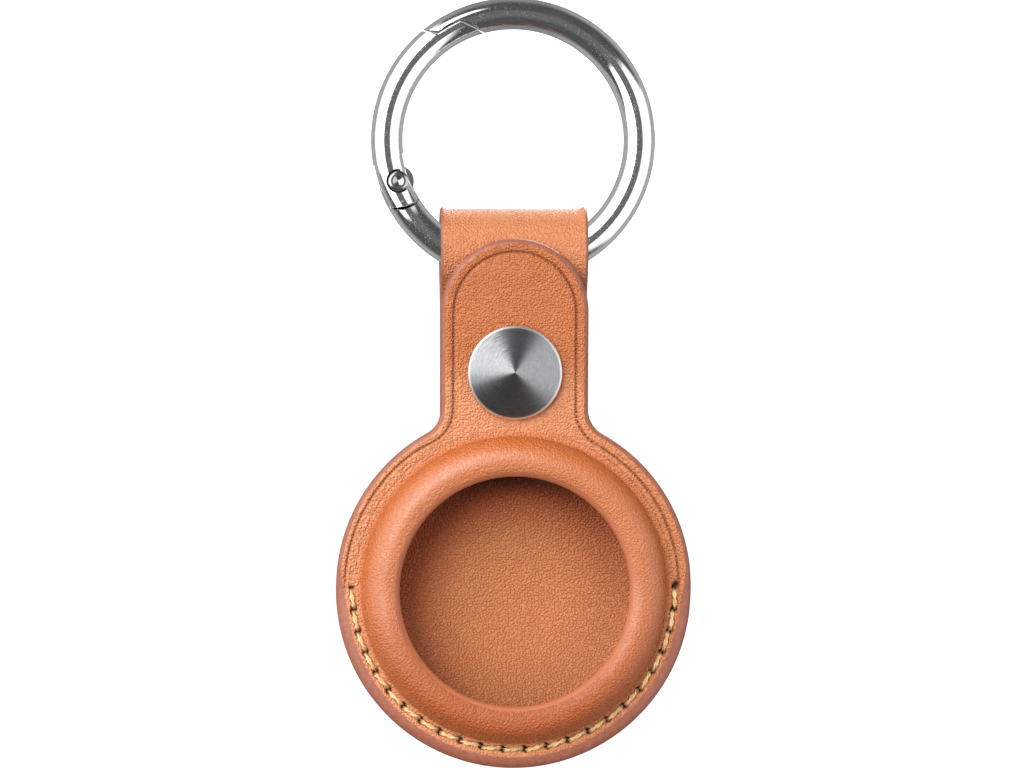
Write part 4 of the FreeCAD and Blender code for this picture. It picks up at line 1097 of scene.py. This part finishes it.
class HOLDER_OT_front_leather(bpy.types.Operator):
    """Moulded front leather with its bead, crease and tongue"""

    bl_idname = "holder.front_leather"
    bl_label = "Front leather"

    def execute(self, context):
        piece = front_leather()
        grained = leather_finish("grained_front", grain_scale=1.0, grain_share=1.15, rubbed=0.0, shine=0.5)
        dress(piece, grained, None, "tan_leather", "front_panel", "front_flap")
        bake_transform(piece)
        return {"FINISHED"}


class HOLDER_OT_back_leather(bpy.types.Operator):
    """Back leather with the strap that goes round the ring"""

    bl_idname = "holder.back_leather"
    bl_label = "Back leather"

    def execute(self, context):
        piece = back_leather()
        grained = leather_finish("grained_back", grain_scale=1.0, grain_share=0.9, rubbed=0.35, shine=0.45)
        dress(piece, grained, "holder", "tan_leather", "back_panel")
        piece.visible_glossy = False
        return {"FINISHED"}


class HOLDER_OT_pocket_lining(bpy.types.Operator):
    """Grained floor of the pocket"""

    bl_idname = "holder.pocket_lining"
    bl_label = "Pocket lining"

    def execute(self, context):
        piece = pocket_lining()
        grained = leather_finish(
            "grained_lining", grain_scale=1.1, grain_share=1.5, rubbed=0.42, shine=0.35, flat=True)
        dress(piece, grained, "holder", "lining_leather", "pocket_lining")
        return {"FINISHED"}


class HOLDER_OT_seam(bpy.types.Operator):
    """Stitches of the rim on both faces"""

    bl_idname = "holder.seam"
    bl_label = "Seam"

    def execute(self, context):
        waxed = thread_finish()
        front = seam_run("front_stitches", FRONT_FACE, side=-1.0, seed=5)
        dress(front, waxed, "holder", "seam_thread", "seam_needle_thread")
        back = seam_run("back_stitches", BACK_PLY, side=1.0, seed=9)
        dress(back, waxed, "holder", "seam_thread", "seam_bobbin_thread")
        return {"FINISHED"}


class HOLDER_OT_snap(bpy.types.Operator):
    """Press snap: cap, post, socket, spring and stud"""

    bl_idname = "holder.snap"
    bl_label = "Snap"

    def execute(self, context):
        metal = looks("metal")
        low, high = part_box("snap_cap")
        dress(snap_cap(), spun_finish((low + high) / 2), "flap", "snap_steel", "snap_cap")
        turned = steel_finish("turned_steel", metal.steel, base=0.24, spread=0.12, grime=0.35)
        wire = steel_finish("snap_spring_wire", metal.spring, base=0.22, spread=0.15, grime=0.3)
        inner = (
            ("snap_cap_post", "flap", "snap_inner_steel", turned),
            ("snap_socket", "flap", "snap_inner_steel", turned),
            ("snap_spring", "flap", "spring_steel", wire),
            ("snap_stud", "holder", "snap_inner_steel", turned),
            ("snap_stud_post", "holder", "snap_steel", turned))
        for node, body, slot, material in inner:
            dress(smooth_copy(node, node + "_metal", sharp=32.0), material, body, slot, node)
        return {"FINISHED"}


class HOLDER_OT_ring(bpy.types.Operator):
    """Chromed ring with its gate, rivet and spring"""

    bl_idname = "holder.ring"
    bl_label = "Ring"

    def execute(self, context):
        metal = looks("metal")
        chrome = chrome_finish()
        for node, body in (("ring_frame", "ring"), ("ring_gate", "gate")):
            wire = smooth_copy(node, node + "_chrome", sharp=30.0)
            round_wire_normals(wire.data)
            dress(wire, chrome, body, "ring_chrome", node)
        rivet = smooth_copy("gate_rivet", "gate_rivet_steel", sharp=30.0)
        rubbed = steel_finish("rivet_steel_rubbed", metal.steel, base=0.14, spread=0.1, grime=0.3)
        dress(rivet, rubbed, "gate", "rivet_steel", "gate_rivet")
        spring = gate_spring()
        drawn = steel_finish("gate_spring_wire", metal.spring, base=0.2, spread=0.15, grime=0.3)
        dress(spring, drawn, None, "spring_steel", "gate_spring")
        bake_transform(spring)
        return {"FINISHED"}


class HOLDER_OT_stage(bpy.types.Operator):
    """Pale floor and wall, soft boxes and the camera"""

    bl_idname = "holder.stage"
    bl_label = "Stage"

    def execute(self, context):
        stage = looks("stage")
        scene = context.scene
        scene.view_settings.view_transform = "Standard"
        cove = stage_cove()
        cove.data.materials.append(floor_finish())
        cove.visible_glossy = False
        cove.visible_diffuse = False
        cove.visible_shadow = False
        scene.world = studio_room()
        lit = bpy.data.collections.new("lit_by_key")
        for piece in scene.objects:
            if piece.name.endswith(("leather", "stitches")):
                lit.objects.link(piece)
        boxes = (
            ("key_soft_box", (-0.345, -0.92, 0.57), 0.8, 0.8, stage.key_light),
            ("side_soft_box", (-0.44, -1.06, 0.11), 0.3, 0.4, stage.side_light),
            ("back_soft_box", (0.3, 0.95, 0.6), 0.6, 0.6, stage.back_light))
        for name, place, width, height, power in boxes:
            lamp = soft_box(name, place, width, height, power)
            lamp.light_linking.receiver_collection = lit
        photograph_camera(scene)
        return {"FINISHED"}


class HOLDER_PT_panel(bpy.types.Panel):
    """Lists the pieces and their looks"""

    bl_idname = "HOLDER_PT_panel"
    bl_label = "Tag Holder"
    bl_space_type = "VIEW_3D"
    bl_region_type = "UI"
    bl_category = "Tag Holder"

    def draw(self, context):
        for operator in OPERATORS:
            self.layout.operator(operator.bl_idname)
        for name in GROUPS:
            box = self.layout.box()
            group = looks(name)
            for key in group.__annotations__:
                box.prop(group, key)


GROUPS = {"leather": LeatherLooks, "thread": ThreadLooks, "metal": MetalLooks, "stage": StageLooks}
OPERATORS = (
    HOLDER_OT_front_leather, HOLDER_OT_back_leather, HOLDER_OT_pocket_lining, HOLDER_OT_seam,
    HOLDER_OT_snap, HOLDER_OT_ring, HOLDER_OT_stage)


def register():
    for kind in (*GROUPS.values(), *OPERATORS, HOLDER_PT_panel):
        bpy.utils.register_class(kind)
    for name, group in GROUPS.items():
        setattr(bpy.types.Scene, "holder_" + name, bpy.props.PointerProperty(type=group))


def unregister():
    for name in GROUPS:
        delattr(bpy.types.Scene, "holder_" + name)
    for kind in (HOLDER_PT_panel, *reversed(OPERATORS), *reversed(GROUPS.values())):
        bpy.utils.unregister_class(kind)


def main():
    register()
    bpy.ops.holder.front_leather()
    bpy.ops.holder.back_leather()
    bpy.ops.holder.pocket_lining()
    bpy.ops.holder.seam()
    bpy.ops.holder.snap()
    bpy.ops.holder.ring()
    bpy.ops.holder.stage()


if __name__ == "__main__":
    main()
